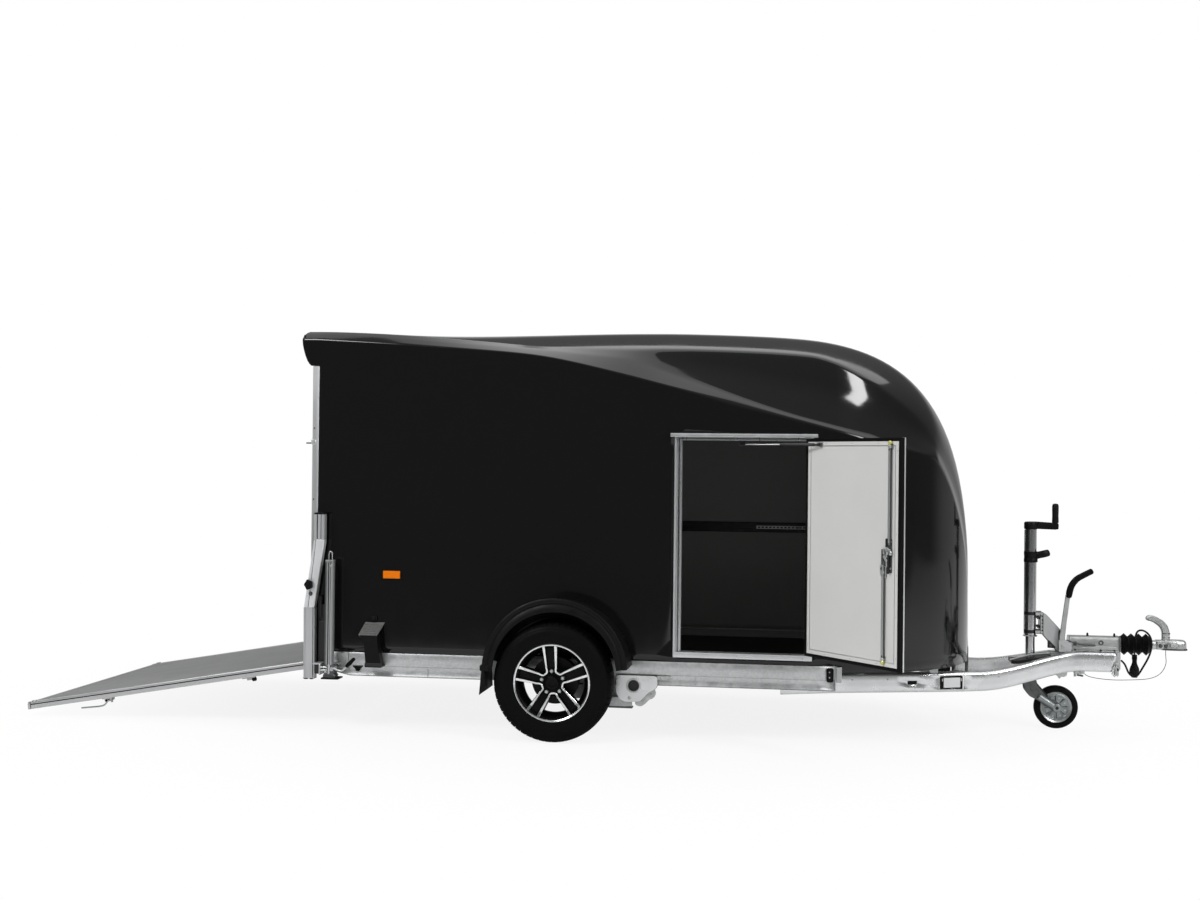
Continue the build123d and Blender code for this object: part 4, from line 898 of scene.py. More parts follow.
# ---------------------------------------------------------------- inside
def make_inside():
    """Lashing rails with a slotted insert, and the skirting along the side walls."""
    rails, skirt = Shape(base=-756.0), Shape(base=-756.0)
    section = [(0, 985), (9, 985), (13, 989), (13, 1004), (9, 1007), (9, 1023), (13, 1026), (13, 1041), (9, 1045),
               (0, 1045)]
    for side, rail_end, skirt_end in ((-1, 1232, 1385), (1, 562, 560)):
        # side -1 of a negative base is the left wall, so that distances run inwards from either wall
        rails.side = skirt.side = side
        rails.prism([(1 + a, b) for a, b in section], -1250, rail_end, plane="yz")
        for k in range(int((rail_end + 1250) / 400) + 1):
            rails.bolt((min(400 * k - 1210, rail_end - 20), 10, 1015), (0, 1, 0), 5, 0, 2.5)
        skirt.prism([(0, 357), (12, 357), (12, 398), (9, 405), (0, 405)], -1280, skirt_end, plane="yz")
    rails.side, rails.base = 1, 0
    for x in [940 + 22.5 * k for k in range(13)]:
        rails.boxes((x, x + 22.5, 742, 746.5, 1006, 1011, 1, 0.6), (x, x + 22.5, 742, 746.5, 1020, 1025, 1, 0.6),
                    (x, x + 8, 742.5, 746, 1010, 1021, 1, 0.6))
    rails.done("lashing_rail_set", ["black_steel", "zinc_steel"], "root", ["lashing_rails"])
    skirt.done("skirting", ["inner_wall"])


# ---------------------------------------------------------------- rear posts, legs and chocks
SIDES = ((-1, "right"), (1, "left"))


def finish_pair(shape, name, slots, nodes, smooth_angle=32):
    """A piece of each side; the right one stands for the CAD node that holds both."""
    right = shape.side < 0
    shape.done(f"{name}_{'right' if right else 'left'}", slots, "root", nodes if right else [], smooth_angle)


def side_shape(side):
    """A shape whose y runs outwards from the wall of one side."""
    shape = Shape(base=HALF)
    shape.side = side
    return shape


def make_posts():
    """Rear corner posts: grey channel above, polished leaning middle, grey box foot, each with its clamp knob."""
    for side in (-1, 1):
        post = side_shape(side)
        for x0, x1 in ((-1277, -1262), (-1257, -1241), (-1238.5, -1221)):
            post.plate(x0, x1, 18, 58, 4, 980, 1114, 0, 1.5, plane="xy")
        post.plate(-1264, -1236, 20, 50, 2, 982, 1110, 2, plane="xy")
        for x, top in ((-1268, 1122), (-1248, 1124), (-1229, 1122)):
            post.plate(x - 10, x + 10, 14, 60, 8, 1112, top, 2, 3.0, plane="xy")
        post.prism([(-1264, 984), (-1221, 984), (-1221, 968), (-1271, 632), (-1303, 628)], 20, 59, 1, 3.0)
        post.prism([(-1277, 984), (-1267, 984), (-1307, 630), (-1328, 630)], 24, 54, 1, 2.5, 3)
        for x0, x1, reach, edge in ((-1329, -1319, 55, 1.6), (-1318, -1279, 59, 1.6), (-1275.5, -1269, 58, 0.8)):
            post.prism([(x0 + 3.5, 269), (x1 + 3.5, 269), (x1, 630), (x0, 630)], 20, reach, 0, edge)
        post.prism([(-1316, 270), (-1272, 270), (-1275, 628), (-1319, 628)], 22, 54, 2)
        for z in [292 + 12.5 * k for k in range(24)]:
            post.pin(-1277.2 + 3.5 * (630 - z) / 361, z, 55, 58, 1.6, 3, 8, 0.3)
        post.boxes((-1290, -1244, 0, 20, 900, 1080, 2, 2), (-1327, -1266, 16, 60, 263, 270, 0, 2),
                   (-1322, -1300, 56, 61, 261, 267, 2, 1), (-1290, -1272, 56, 61, 261, 267, 2, 1),
                   (-1300, -1266, 0, 22, 290, 900, 2, 2))
        # star knob on its threaded pin
        lobes = [((25, 30) if k % 2 else (19, 23), pi * k / 5) for k in range(10)]
        post.prism([(-1297 + a * cos(t), 750 + b * sin(t)) for (a, b), t in lobes], 62, 82, 2, 4.0, soft=6)
        post.pin(-1297, 750, 50, 63, 9, 3, 16)
        post.pin(-1297, 750, 80, 86, 9, 2, 20, 2.0)
        post.pin(-1290, 703, 58, 70, 7.5, 3, 6)
        post.pin(-1290, 703, 57, 61, 11, 3, 20, 0.8)
        finish_pair(post, "rear_post", ["rear_grey", "polished_steel", "black_plastic", "dark_steel_and_edge_shade"], ["rear_posts"])
        lamp = side_shape(side)
        lamp.box(-1329.5, -1326, 4, 37, 328, 602, 1, 1)
        for z, slot in ((334, 0), (424, 2), (514, 0)):
            lamp.plate(6, 34, z, z + 84, 6, -1329, -1334, slot, 1.5, plane="yz")
        finish_pair(lamp, "rear_lamp", ["red_lens", "black_plastic", "orange_lens"], ["rear_lamps"])
        corner = side_shape(side)
        corner.boxes((-1264, -1205, 1, 20, 300, 645, 0, 3), (-1258, -1216, 20, 32, 320, 560, 0, 4),
                     (-1262, -1240, 19, 26, 575, 690, 0, 3))
        corner.bolts((0, 1, 0), *[((-1228, 20, z), 5, 0, 3) for z in (600, 560, 430, 345)])
        finish_pair(corner, "corner_plate", ["black_steel"], [])


def make_legs():
    """Stabiliser legs with their grooves, lock cable and foot, and the clamp that holds each to the rail."""
    x, y = -1182, 70
    grooves = [pi / 2 * way + lean for way in (1, 3) for lean in (0.35, -0.35)]
    for side, name in SIDES:
        leg = side_shape(side)
        outline = []
        for k in range(64):
            a = 2 * pi * k / 64
            deep = any(abs((a - groove + pi) % (2 * pi) - pi) < 0.12 for groove in grooves)
            outline.append((x + (21.6 if deep else 24.0) * cos(a), y + (21.6 if deep else 24.0) * sin(a)))
        leg.prism(outline, 279, 876, plane="xy")
        leg.prism(oblong(x - 24.5, x + 24.5, y - 24.5, y + 24.5, 20, 6), 872, 880, 0, 2.0, plane="xy")
        # The dark strips are painted shade in the leg's grooves and down its shaded side; the two thin bright rods are
        # painted highlight lines along the groove edges.
        leg.boxes((x - 3, x + 1.5, y + 21, y + 24.6, 340, 868, 1, 0.4),
                  (x + 8, x + 12, y + 18, y + 23.2, 340, 868, 3, 0.4),
                  (x - 20, x - 12, y + 14, y + 20.5, 340, 868, 3, 0.4))
        leg.rod((x - 7, y + 22.6, 600), (x - 7, y + 22.6, 862), 2.0, 2, 12)
        leg.rod((x + 5, y + 23, 345), (x + 5, y + 23, 866), 2.2, 2, 12)
        leg.tube([(x - 8, y, 878), (x - 8, y, 912), (x, y, 926), (x + 9, y, 918), (x + 13, y + 8, 880),
                  (x + 13, y + 20, 840)], 2.6, 2, 10, 14)
        leg.tube([(x + 13, y + 22, 860), (x + 13, y + 24, 300)], 3.2, 2, 10)
        leg.boxes(*[(x + 6, x + 20, y + 16, y + 28, z - 6, z + 6, 2, 2) for z in (850, 330)])
        leg.plate(x - 33, x + 62, y - 44, y + 44, 12, 271, 277.5, 1, 1.5, plane="xy")
        leg.plate(x - 26, x + 40, y - 30, y + 30, 10, 277, 284, 3, 1.5, plane="xy")
        leg.done(f"support_leg_{name}", ["leg_steel", "black_plastic", "zinc_steel", "dark_steel_and_edge_shade"], f"leg_{name}",
                 [f"leg_{name}"], 30)
        grip = side_shape(side)
        grip.boxes((-1250, -1205, 0, 8, 332, 376, 2, 2), (-1264, -1218, 8, 96, 343, 349, 3, 1),
                   (-1256, -1231, 8, 88, 294, 343, 4, 3), (-1229, -1222, 30, 98, 290, 346, 3, 1.5),
                   (x - 24, x + 36, 30, 98, 300, 342, 2, 3), (x + 2, x + 12, 94, 102, 296, 345, 3, 2),
                   (x - 30, x + 40, 0, 34, 336, 343, 0, 2))
        for z in (318, 333):
            grip.lathe([(24.6, 0), (31, 0), (32, 2), (32, 6), (31, 8), (24.6, 8)], (x, y, z), (0, 0, 1), 2, 36, True)
            grip.rod((x - 38, 100, z - 2), (x - 2, 100, z - 2), 4.5, 0, 12)
            grip.rod((x - 40, 100, z - 2), (x - 33, 100, z - 2), 8.5, 0, 6, 1.2)
        grip.prism([(x - 26, 286), (x + 42, 286), (x + 30, 302), (x - 18, 302)], 40, 98, 2, 2)
        grip.bolts((0, 1, 0), ((x + 22, 98, 322), 8, 0, 4), ((x - 10, 98, 308), 6, 0, 4))
        grip.pin(x + 30, 328, 60, 94, 9, 3, 20, 1.5)
        grip.tube([(x + 32, 94, 328), (x + 52, 96, 317), (x + 76, 98, 314), (x + 92, 100, 326), (x + 108, 102, 343)],
                  5.4, 3, 12, 12)
        grip.tube([(x + 102, 101, 338), (x + 122, 102, 358), (x + 144, 103, 380)],
                  lambda t: 8.5 + 2.5 * sin(pi * min(t * 1.2, 1)), 1, 14, 10, edge=2.5)
        finish_pair(grip, "leg_clamp", ["zinc_steel", "black_rubber", "dark_steel_and_edge_shade", "bracket_steel", "black_steel"],
                    ["leg_clamps"])


def make_chocks():
    """A rubber wheel chock in its holder on each side, and the amber marker above it."""
    for side in (-1, 1):
        chock = side_shape(side)
        chock.prism([(-1027, 498), (-931, 498), (-927, 440), (-908, 338), (-990, 338), (-998, 438), (-1006, 465)],
                    6, 70, 0, 3.0, soft=6)
        # The top face and its ribs take the lighter chock material: painted light on the upward face.
        top = [(-1028, 70, 500), (-930, 70, 500), (-908, 4, 558), (-1012, 4, 558)]
        low = [(-1024, 66, 489), (-934, 66, 489), (-912, 4, 547), (-1008, 4, 547)]
        chock.rings([[chock.point(p) for p in low], [chock.point(p) for p in top]], 1)
        for t in [0.12 + 0.17 * k for k in range(5)]:
            chock.tube([Vector(top[0]).lerp(Vector(top[3]), t) + Vector((5, 1, 1.5)),
                        Vector(top[1]).lerp(Vector(top[2]), t) + Vector((-5, 1, 1.5))], 2.2, 1, 8)
        chock.boxes((-985, -950, 1, 12, 560, 590, 0, 4), (-978, -957, 12, 18, 566, 584, 0, 3),
                    (-993, -904, 1, 74, 333, 340, 2, 2), (-993, -904, 70, 74, 333, 356, 2, 1.5))
        finish_pair(chock, "chock", ["black_plastic", "chock_top_painted_light", "black_steel"], ["wheel_chocks"])
        marker = side_shape(side)
        marker.plate(-921, -827, 784, 827, 3, 0, 5, 1)
        marker.plate(-919, -829, 786, 825, 4, 4.5, 13.5, 0, 2.0)
        marker.boxes(*[(x, x + 4, 13, 14, 790, 821, 0, 0.4) for x in range(-913, -832, 9)])
        finish_pair(marker, "marker", ["orange_lens", "black_plastic"], ["side_markers"])


def make_rear_frame():
    """Corner profiles that lap round the walls' rear edges, the header above the opening, and its seal."""
    rear = Shape()
    for rear.side in (-1, 1):
        rear.prism([(-1311, 768), (-1311, 780.5), (-1308, 783), (-1279, 783), (-1277, 781.5), (-1277, 780.6),
                    (-1289, 780.6), (-1289, 768)], 402, 1883, 0, 0.6, plane="xy")
        rear.prism([(-1298, 764), (-1293, 763), (-1293, 768), (-1298, 768)], 410, 1838, 1, plane="xy")
        rear.bolts((0, 1, 0), ((-1300, 783, 1190), 3, 2, 2), ((-1300, 783, 1560), 3, 2, 2))
        # the second box is the keeper for the ramp's upper latch, with its peg
        rear.boxes((-1293, -1290, 735, 768, 402, 1840, 0, 1), (-1316, -1290, 772, 786, 1474, 1500, 0, 2))
        rear.rod((-1345, 777, 1482), (-1312, 777, 1482), 4, 2, 14)
    top = crease_z(REAR_X) - WALL - 2
    rear.boxes((-1292, -1290, -768, 768, 1840, 1884, 0, 0.5), (-1290, -1272, -753, 753, 1840, 1884, 0, 2),
               (-1293, -1290, -753, 753, 1885, top, 0, 1))
    rear.done("rear_frame_profile", ["aluminium_profile", "black_rubber", "dark_steel_and_edge_shade"], "root", ["rear_frame"])


for make in (make_door_frame, make_door_leaf, make_door_lock, make_stay, make_inside, make_rear_frame, make_posts,
             make_legs, make_chocks):
    make()


# ---------------------------------------------------------------- chassis
def arm_y(x):
    """The right or left arm's distance from the centre plane: the arms are splayed and meet at the coupling."""
    return 690 - 605 * min((x - 1122.5) / 1497.5, 1.0)


def arm_z(x):
    return 291 - 12 * clamp((x - 1400) / 600) + 92 * smooth((x - 2150) / 560)


def paired(stations, section):
    """Grids of the same bent sheet for the right and the left side."""
    return [[[(x, side * y, z) for x, y, z in section(x)] for x in stations] for side in (-1, 1)]


def make_rails():
    def section(x):
        low = 278 + 45 * clamp(1 - (x + 1290) / 190)
        step = max(331, low + 5)
        outline = [(738, 398.5), (770, 398.5), (775.5, 397), (777.5, 392), (777.5, step + 3), (775, step),
                   (773.5, step - 3), (773.5, low + 10), (775.5, low + 7), (776.5, low + 3), (773, low + 1.5),
                   (738, low + 1.5)]
        return [(x, y, z) for y, z in outline]
    stations = [-1289 + 19 * k for k in range(11)] + [-1000 + 100 * k for k in range(24)] + [1390]
    sheet("chassis_rail_pair", paired(stations, section), 4.5, "galvanised_steel", offset=0.0,
          nodes=["chassis_rails"], smooth_angle=40)
    extra = Shape()
    for extra.side in (-1, 1):
        extra.prism([(-1163, 318), (-1100, 318), (-1094, 300), (-1110, 292)], 772, 782, 1, 1.5)
        extra.prism([(-1080, 327), (-1024, 327), (-1034, 318), (-1045, 303), (-1060, 303), (-1066, 315)], 768, 783,
                    3, 1.5)
        # The two long thin dark strips in the next call lie on the rail's step and under its lower edge: painted shade
        # in those creases.
        # the last three boxes are the rail's end cap, its side plate and the stop in front of it
        extra.boxes((-1163, -1100, 776, 784, 318, 397, 1, 2), (-1090, 1390, 774, 778.2, 330.5, 332.5, 4, 0.4),
                    (-1092, 1390, 770, 777.4, 277.5, 279.5, 4, 0.4),
                    *[(x, x + 2.2, 775, 778.6, 283, 330, 1, 0.5) for x in (-680, -250, 700, 1150)],
                    (1391, 1397, 734, 781, 276, 401, 1, 2), (1350, 1384, 778, 784, 322, 392, 2, 6),
                    (1398, 1424, 690, 776, 320, 396, 1, 2))
        extra.bolts((0, 1, 0), ((1364, 784, 345), 2.6, 1, 1.5), ((1364, 784, 372), 2.6, 1, 1.5))
    extra.done("rail_fittings", ["black_steel", "zinc_steel", "black_plastic", "black_rubber", "dark_steel_and_edge_shade"])


def make_arms():
    half = [(-25, 47.6), (-5, 47.6), (12, 47.6), (19, 46), (23.5, 41.5), (25, 35), (25, 11)]

    def section(x):
        """The front end is cut at a slant."""
        y, z, cut = arm_y(x) - 2.4, arm_z(x), smooth((x - 2790) / 78)
        return [(x - cut * (4 + 0.28 * (48 - b)), y + a, z + b) for a, b in half + [(a, -b) for a, b in half[::-1]]]

    def opening(rows, i, j):
        x = (rows[i][0][0] + rows[i + 1][0][0]) / 2
        return 1762 < x < 1814 and j == 6 or 1929 < x < 2056 and j in (5, 6, 7)
    stations = sorted([1123 + 53 * k for k in range(12)] + [1762, 1814, 1870, 1929, 2056, 2100]
                      + [2150 + 22 * k for k in range(33)] + [2868])
    sheet("drawbar_arm_pair", paired(stations, section), 5, "arm_steel", opening, 0.0, ["drawbar_arms"], 40)
    lamp = Shape()
    for lamp.side in (-1, 1):
        def stand(x, reach, drop):
            lean = atan2(arm_y(x + 10) - arm_y(x - 10), 20)
            lamp.turn = (Matrix.Translation((x, lamp.side * (arm_y(x) + reach), arm_z(x) - drop))
                         @ Matrix.Rotation(lean * lamp.side, 4, "Z"))
        stand(1992.5, 18, 1)
        lamp.plate(-62, 62, -34, 34, 5, -10, 5, 0, 1.5)
        lamp.plate(-48, 46, -25, 26, 4, 3, 9, 1, 2.0)
        lamp.boxes((-57, -51, 3, 7.5, 8, 22, 2, 1), (50, 56, 3, 7.5, 8, 22, 2, 1))
        stand(1788, 15, 0)
        lamp.box(-25, 25, -6, 5, -10.5, 10.5, 0, 2)
    lamp.turn = Matrix.Identity(4)
    lamp.done("arm_lamps", ["black_plastic", "white_lens", "zinc_steel"])
    more = Shape()
    for more.side in (-1, 1):
        more.prism([(2540, 322), (2612, 322), (2610, 298), (2596, 290), (2566, 290), (2544, 304)], 62, 108, 0, 2.5,
                   1, soft=5)
        more.bolt((2574, 90, 290), (0, 0, -1), 7, 0)
        more.box(2648, 2700, 66, 106, 308, 324, 0, 2)
        more.rod((2655, 84, 311), (2655, 84, 292), 7, 0, 6)
        more.rod((2662, 106, 303), (2694, 88, 296), 5, 1, 12)
        more.bolts((0, 1, 0), ((2680, 106, 314), 6, 0, 4),
                   *[((x, arm_y(x) + 22.5, arm_z(x) + 18), 4.5, 0, 3) for x in (1480, 1660, 2240)])
    # bracket between the arms under the jockey wheel's clamp, and a stiffener
    more.prism([(2330, 346), (2366, 346), (2540, 386), (2540, 396), (2366, 366), (2330, 366)], -70, 70, 2, 1.5,
               soft=6)
    more.tube([(2326, -40, 362), (2366, -40, 374), (2440, -40, 396), (2530, -40, 404)], 6, 0, 12, 20)
    # cable holder at the right arm's front end: bracket, clip and screws
    more.boxes((2846, 2872, -112, -104, 306, 372, 0, 2), (2852, 2866, -118, -110, 340, 360, 2, 2))
    more.rod((2860, -116, 372), (2852, -116, 300), 4.5, 0, 12)
    more.rod((2866, -119, 352), (2838, -117, 346), 5, 0, 12)
    more.bolts((0, -1, 0), ((2858, -112, 320), 6, 0, 4), ((2868, -112, 336), 4.5, 1, 3))
    more.tube([(2842, -112, 330), (2836, -116, 316), (2848, -118, 302), (2866, -116, 306)], 3.5, 0, 10, 6)
    more.done("arm_fittings", ["zinc_steel", "dark_steel_and_edge_shade", "black_steel"])


def pierced(shape, outline, centre, radius, lo, hi, m, side, count=96):
    """A plate with a round hole: rays from the hole's centre meet the outline."""
    outer, inner = [], []
    for k in range(count):
        way = Vector((cos(2 * pi * k / count), sin(2 * pi * k / count)))
        best = 1e9
        for i, corner in enumerate(outline):
            p = Vector(corner) - Vector(centre)
            e = Vector(outline[(i + 1) % len(outline)]) - Vector(corner)
            cross = way.x * e.y - way.y * e.x
            if abs(cross) > 1e-9:
                t, u = (p.x * e.y - p.y * e.x) / cross, (p.x * way.y - p.y * way.x) / cross
                if t > 0 and -1e-6 <= u <= 1 + 1e-6:
                    best = min(best, t)
        outer.append((centre[0] + way.x * best, centre[1] + way.y * best))
        inner.append((centre[0] + way.x * radius, centre[1] + way.y * radius))
    loops = [[(a, shape.y(y), b) for a, b in line] for y, line in ((lo, outer), (hi, outer), (hi, inner), (lo, inner))]
    shape.rings(loops, [side, m, side, m], True)


def make_axle():
    """Trailing-arm pivots: the tube with its flange, and the two shaped carrier plates of each side."""
    axle = Shape()
    axle.pipe((390, -788, 275), (390, 788, 275), 30, 5, 3, 40)
    plate = soften([(300, 326), (508, 326), (512, 280), (498, 258), (468, 244), (448, 222), (424, 196), (352, 192),
                    (322, 204), (302, 236)], 10)
    for axle.side in (-1, 1):
        axle.pin(390, 275, 735, 752, 25.4, 4, 28)
        axle.pipe((390, 752, 275), (390, 789, 275), 25.2, 1.6, 4, 28)
        # The carrier plate's cut edges are dark steel, and a black plate 1.6 mm wider lies behind it: painted shade
        # that draws a dark outline round the plate.
        pierced(axle, plate, (390, 275), 29.5, 781, 788.5, 5, 3)
        axle.lathe([(30.2, 0), (37, 0), (37.5, 1), (37.5, 5), (36, 6.5), (30.2, 6.5)], (390, 788, 275), (0, 1, 0),
                   1, 40, True)
        axle.prism(shrink(plate, -1.6), 779, 781.4, 6, 0.5)
        # The two plates below have black rims: painted shade along their edges.
        axle.prism([(400, 250), (492, 262), (502, 246), (500, 226), (486, 210), (470, 206), (446, 180), (424, 168),
                    (396, 176)], 768, 776, 0, 1.0, 6, soft=12)
        axle.prism([(264, 214), (326, 217), (346, 205), (378, 203), (380, 166), (264, 163)], 752, 776, 0, 3.0, 6)
        axle.bolts((0, 1, 0), ((478, 776, 232), 7, 1, 4), ((446, 776, 198), 7, 1, 4), ((370, 788, 213), 7, 0, 3),
                   ((530, 786, 316), 5, 0, 3))
        axle.boxes((508, 560, 779, 786, 306, 326, 1, 2), (556, 580, 777, 783, 314, 324, 1, 2),
                   (262, 384, 742, 778, 158, 167, 3, 2))
    axle.done("axle_pivots", ["galvanised_steel", "zinc_steel", "black_plastic", "dark_steel_and_edge_shade", "black_rubber",
                              "arm_steel", "black_steel"], "root", ["suspension_tube"])


# ---------------------------------------------------------------- coupling and levers
BRIDGE_Z, HOUSING_X, DRAW_Z = 421.0, 2893.0, 460.0  # top of the arms' bridge, housing's front, coupling's axis
BRAKE_Y = -62.0


def make_hitch():
    top = BRIDGE_Z
    hitch = Shape()
    arch = [(50, top + 2), (50, top + 58), (45, top + 71), (32, top + 77.5)]
    hitch.prism([(-a, b) for a, b in arch] + arch[::-1], 2632, HOUSING_X - 9, 0, 2.0, plane="yz")
    hitch.plate(-54, 54, top, top + 79, 16, HOUSING_X - 11, HOUSING_X, 0, 2.0, 2, plane="yz")
    hitch.box(2634, HOUSING_X - 8, -60, 60, top, top + 6, 0, 2)
    for hitch.side in (-1, 1):
        rib = [(2672, top + 12), (2700, top + 24), (2752, top + 24), (2766, top + 29), (2868, top + 29),
               (2874, top + 22), (2874, top + 12), (2864, top + 8), (2690, top + 8)]
        hitch.prism(rib, 49, 53.5, 0, 2.2, 2, soft=4)
        hitch.lathe([(6, 0), (12, 0), (13, 1.2), (12, 2.5), (6.5, 2.5)], (2792, 50, top + 48), (0, 1, 0), 2, 28, True)
        hitch.box(2650, 2668, 50, 54, top + 30, top + 52, 2, 2)
        hitch.bolts((0, 0, 1), *[((x, 56, top + 6), 5, 2, 4) for x in (2660, 2790, 2860)])
    for x in (2731, 2869):
        hitch.rod((x, 0, top + 76), (x, 0, top + 84), 6.5, 1, 12)
        hitch.lathe([(3, 0), (5.2, 1), (5.5, 6), (4, 9), (2, 11)], (x, 0, top + 84), (0, 0, 1), 1, 14)
    hitch.done("overrun_body", ["zinc_steel", "black_plastic", "dark_steel_and_edge_shade"], "root", ["overrun_housing"])
    gaiter = Shape()
    folds = [(r, 6 + 37.5 * k + s) for k in range(4)
             for r, s in ((42, 2), (55.5, 17), (57.4, 18.7), (55.5, 20.5), (42, 35.5))]
    gaiter.lathe([(37, 0), (42, 1.5), (42, 6)] + folds + [(40, 156), (40.5, 160), (36, 162)],
                 (HOUSING_X, 0, DRAW_Z), (1, 0, 0), 0, 56)
    gaiter.done("overrun_bellows", ["black_rubber"], "root", ["overrun_gaiter"])


def make_coupling():
    head = Shape()
    head.rod((HOUSING_X + 155, 0, DRAW_Z), (3136, 0, 462), 25, 0, 32, 2.0)
    head.box(3078, 3122, -31, 31, 438, 486, 0, 6)
    plan = [(3107, 26), (3140, 37), (3190, 39), (3224, 31), (3236, 14)]
    plan = soften([(a, -b) for a, b in plan] + plan[::-1], 12, 4)
    levels = ((1, 436), (-3.5, 436.5), (-4, 440), (-3, 443.5), (1, 446), (1.5, 466), (3, 477), (8, 485), (15, 489),
              (22, 490))
    head.rings([[(a, b, z) for a, b in shrink(plan, inset)] for inset, z in levels],
               lambda i, j: 2 if i in (1, 2, 3) else 0)
    for head.side in (-1, 1):
        head.plate(3146, 3186, 452, 472, 4, 36, 40.6, 0, 1.6, 2)
        head.bolts((0, 1, 0), ((3126, 32, 459), 8, 2, 5), ((3098, 31, 459), 8, 2, 5))
    head.lathe([(8, 0), (13, 0), (14, 2), (13, 5), (9, 6)], (3214, 0, 482), (0, 0, 1), 0, 20)
    head.done("coupling_shell", ["zinc_steel", "black_plastic", "dark_steel_and_edge_shade"], "root", ["coupling_head"], 36)
    handle = Shape()
    handle.prism([(3110, 480), (3151, 480), (3150, 528), (3139, 564), (3115, 591), (3082, 610), (3050, 619),
                  (3034, 613), (3027, 600), (3032, 590), (3048, 587), (3068, 579), (3094, 560), (3106, 543),
                  (3110, 524)], -15, 15, 0, 7.0, soft=9)
    for handle.side in (-1, 1):
        handle.prism([(3122, 484), (3140, 484), (3139, 526), (3128, 557), (3107, 581), (3077, 598), (3072, 592),
                      (3099, 574), (3116, 550), (3122, 524)], 14.5, 17, 0, 1.5, 1, soft=5)
    handle.boxes((3112, 3151, -17, 17, 520, 525, 1, 1), (3112, 3151, -16.5, 16.5, 500, 503, 1, 1))
    handle.done("coupling_handle", ["zinc_steel", "dark_steel_and_edge_shade"], "root", ["coupling_lever"], 36)


def make_brake_lever():
    top = BRIDGE_Z
    brake = Shape(base=BRAKE_Y)
    for y in (-9, 5):
        brake.prism([(2573, top - 4), (2638, top - 4), (2640, top + 44), (2624, top + 44), (2618, top + 58),
                     (2573, top + 58)], y, y + 4, 3, 1.0, 2, soft=4)
    brake.pin(2594, top + 26, -9, -13, 9, 0, 20, 1.5)
    brake.prism([(2574, top + 8), (2604, top + 8), (2606, top + 80), (2613, top + 150), (2632, top + 300),
                 (2607, top + 300), (2587, top + 150), (2577, top + 80)], -5, 5, 0, 2.5, 2, soft=4)
    brake.tube([(2623, 0, top + 289), (2628, 0, top + 322), (2638, 0, top + 352), (2662, 0, top + 384),
                (2702, 0, top + 407), (2740, 0, top + 427)],
               lambda t: 15.5 + 2.5 * smooth(t / 0.12) - 2.5 * t, 1, 20, 24, 6, 1.0, (0, 1, 0), 6)
    brake.tube([(2612, -6, top + 60), (2680, 2, top + 38), (2762, 2, top + 34)], 4, 2, 10, 14)
    brake.done("brake_lever", ["zinc_steel", "black_rubber", "dark_steel_and_edge_shade", "bracket_steel"], "root",
               ["handbrake_lever"])


def make_plug():
    """Thirteen-pole plug hanging by its cable: ribbed sleeve above, ringed body and cap below."""
    plug = Shape()
    plug.lathe([(8, 0), (12, -1), (14, -4), (14, -10), (12.8, -13), (14, -16), (13.6, -24), (12, -34), (13, -46),
                (17, -58), (21.5, -68), (23.5, -74), (24, -90), (22.6, -93), (22.6, -97), (24, -99), (23, -106),
                (17.5, -110), (16.5, -120), (14, -123)], (2986, 60, 399), (0, 0, 1), 0, 36)
    for x, y in ring((2986, 60), 23.2, 12):
        plug.rod((x, y, 311), (x, y, 324), 1.6, 0, 6, 0.5)
    plug.box(2960, 2965, 56, 64, 300, 318)
    plug.done("trailer_plug_body", ["black_plastic"], "root", ["trailer_plug"])


# ---------------------------------------------------------------- jockey wheel
JOCKEY_X, UP = 2435.0, (0, 0, 1)
FORK_Z, CASTOR_X, CASTOR_Z = 262.0, 2570.0, 115.0  # top of the fork, and the small wheel's axle


def make_jockey_column():
    x = JOCKEY_X
    tube = Shape()
    tube.pipe((x, 0, 489), (x, 0, 1068), 30, 4.5, 0, 48)
    tube.lathe([(30.2, 0), (36, 0), (38, 1.5), (38, 4.5), (36, 6), (30.2, 6)], (x, 0, 489), UP, 0, 48, True)
    tube.box(x - 34, x - 29, -7, 7, 500, 1060)
    tube.done("jockey_tube", ["column_steel"], "root", ["jockey_column"])
    crank = Shape()
    crank.lathe([(20, 0), (32, 0), (35, 2), (36, 6), (36, 32), (34, 37), (28, 40), (10, 41)], (x, 0, 1063), UP)
    crank.prism([(x - 10, 1066), (x + 125, 1062), (x + 142, 1065), (x + 143, 1093), (x + 134, 1098),
                 (x + 30, 1104), (x - 10, 1104)], -13, 13, 0, 4.0, soft=5)
    crank.lathe([(9, 0), (16, 2), (17.6, 10), (16.4, 40), (17.2, 70), (17.2, 92), (15, 102), (10, 106), (3, 107)],
                (x + 126, 0, 1095), UP, 0, 32)
    crank.lathe([(30.3, 0), (34.5, 0), (36, 2), (36, 17), (34.8, 19), (34.8, 38), (36, 40), (36, 56), (34.5, 58),
                 (30.3, 58)], (x, 0, 886), UP, 0, 40, True)
    crank.tube([(x + 26, -19, 922), (x + 64, -25, 930), (x + 88, -18, 937), (x + 93, 0, 939), (x + 88, 18, 937),
                (x + 64, 25, 930), (x + 26, 19, 922)], 17, 0, 16, 18, 5, 0.42, UP, 3)
    crank.boxes((x + 30, x + 118, -14.5, -12.5, 1075, 1091, 0, 1), (x + 24, x + 42, -22, 22, 905, 936, 0, 4))
    crank.done("jockey_handle", ["black_plastic"], "root", ["jockey_crank"], 36)
    inner = Shape()
    inner.pipe((x, 0, 262), (x, 0, 800), 25, 4, 0, 40)
    inner.lathe([(4, 0), (24, 0), (25.5, 2), (25.5, 9), (4, 10)], (x, 0, 258), UP, 0, 36, True)
    inner.done("jockey_inner_bar", ["column_steel"], "jockey_slide", ["jockey_inner_tube"])


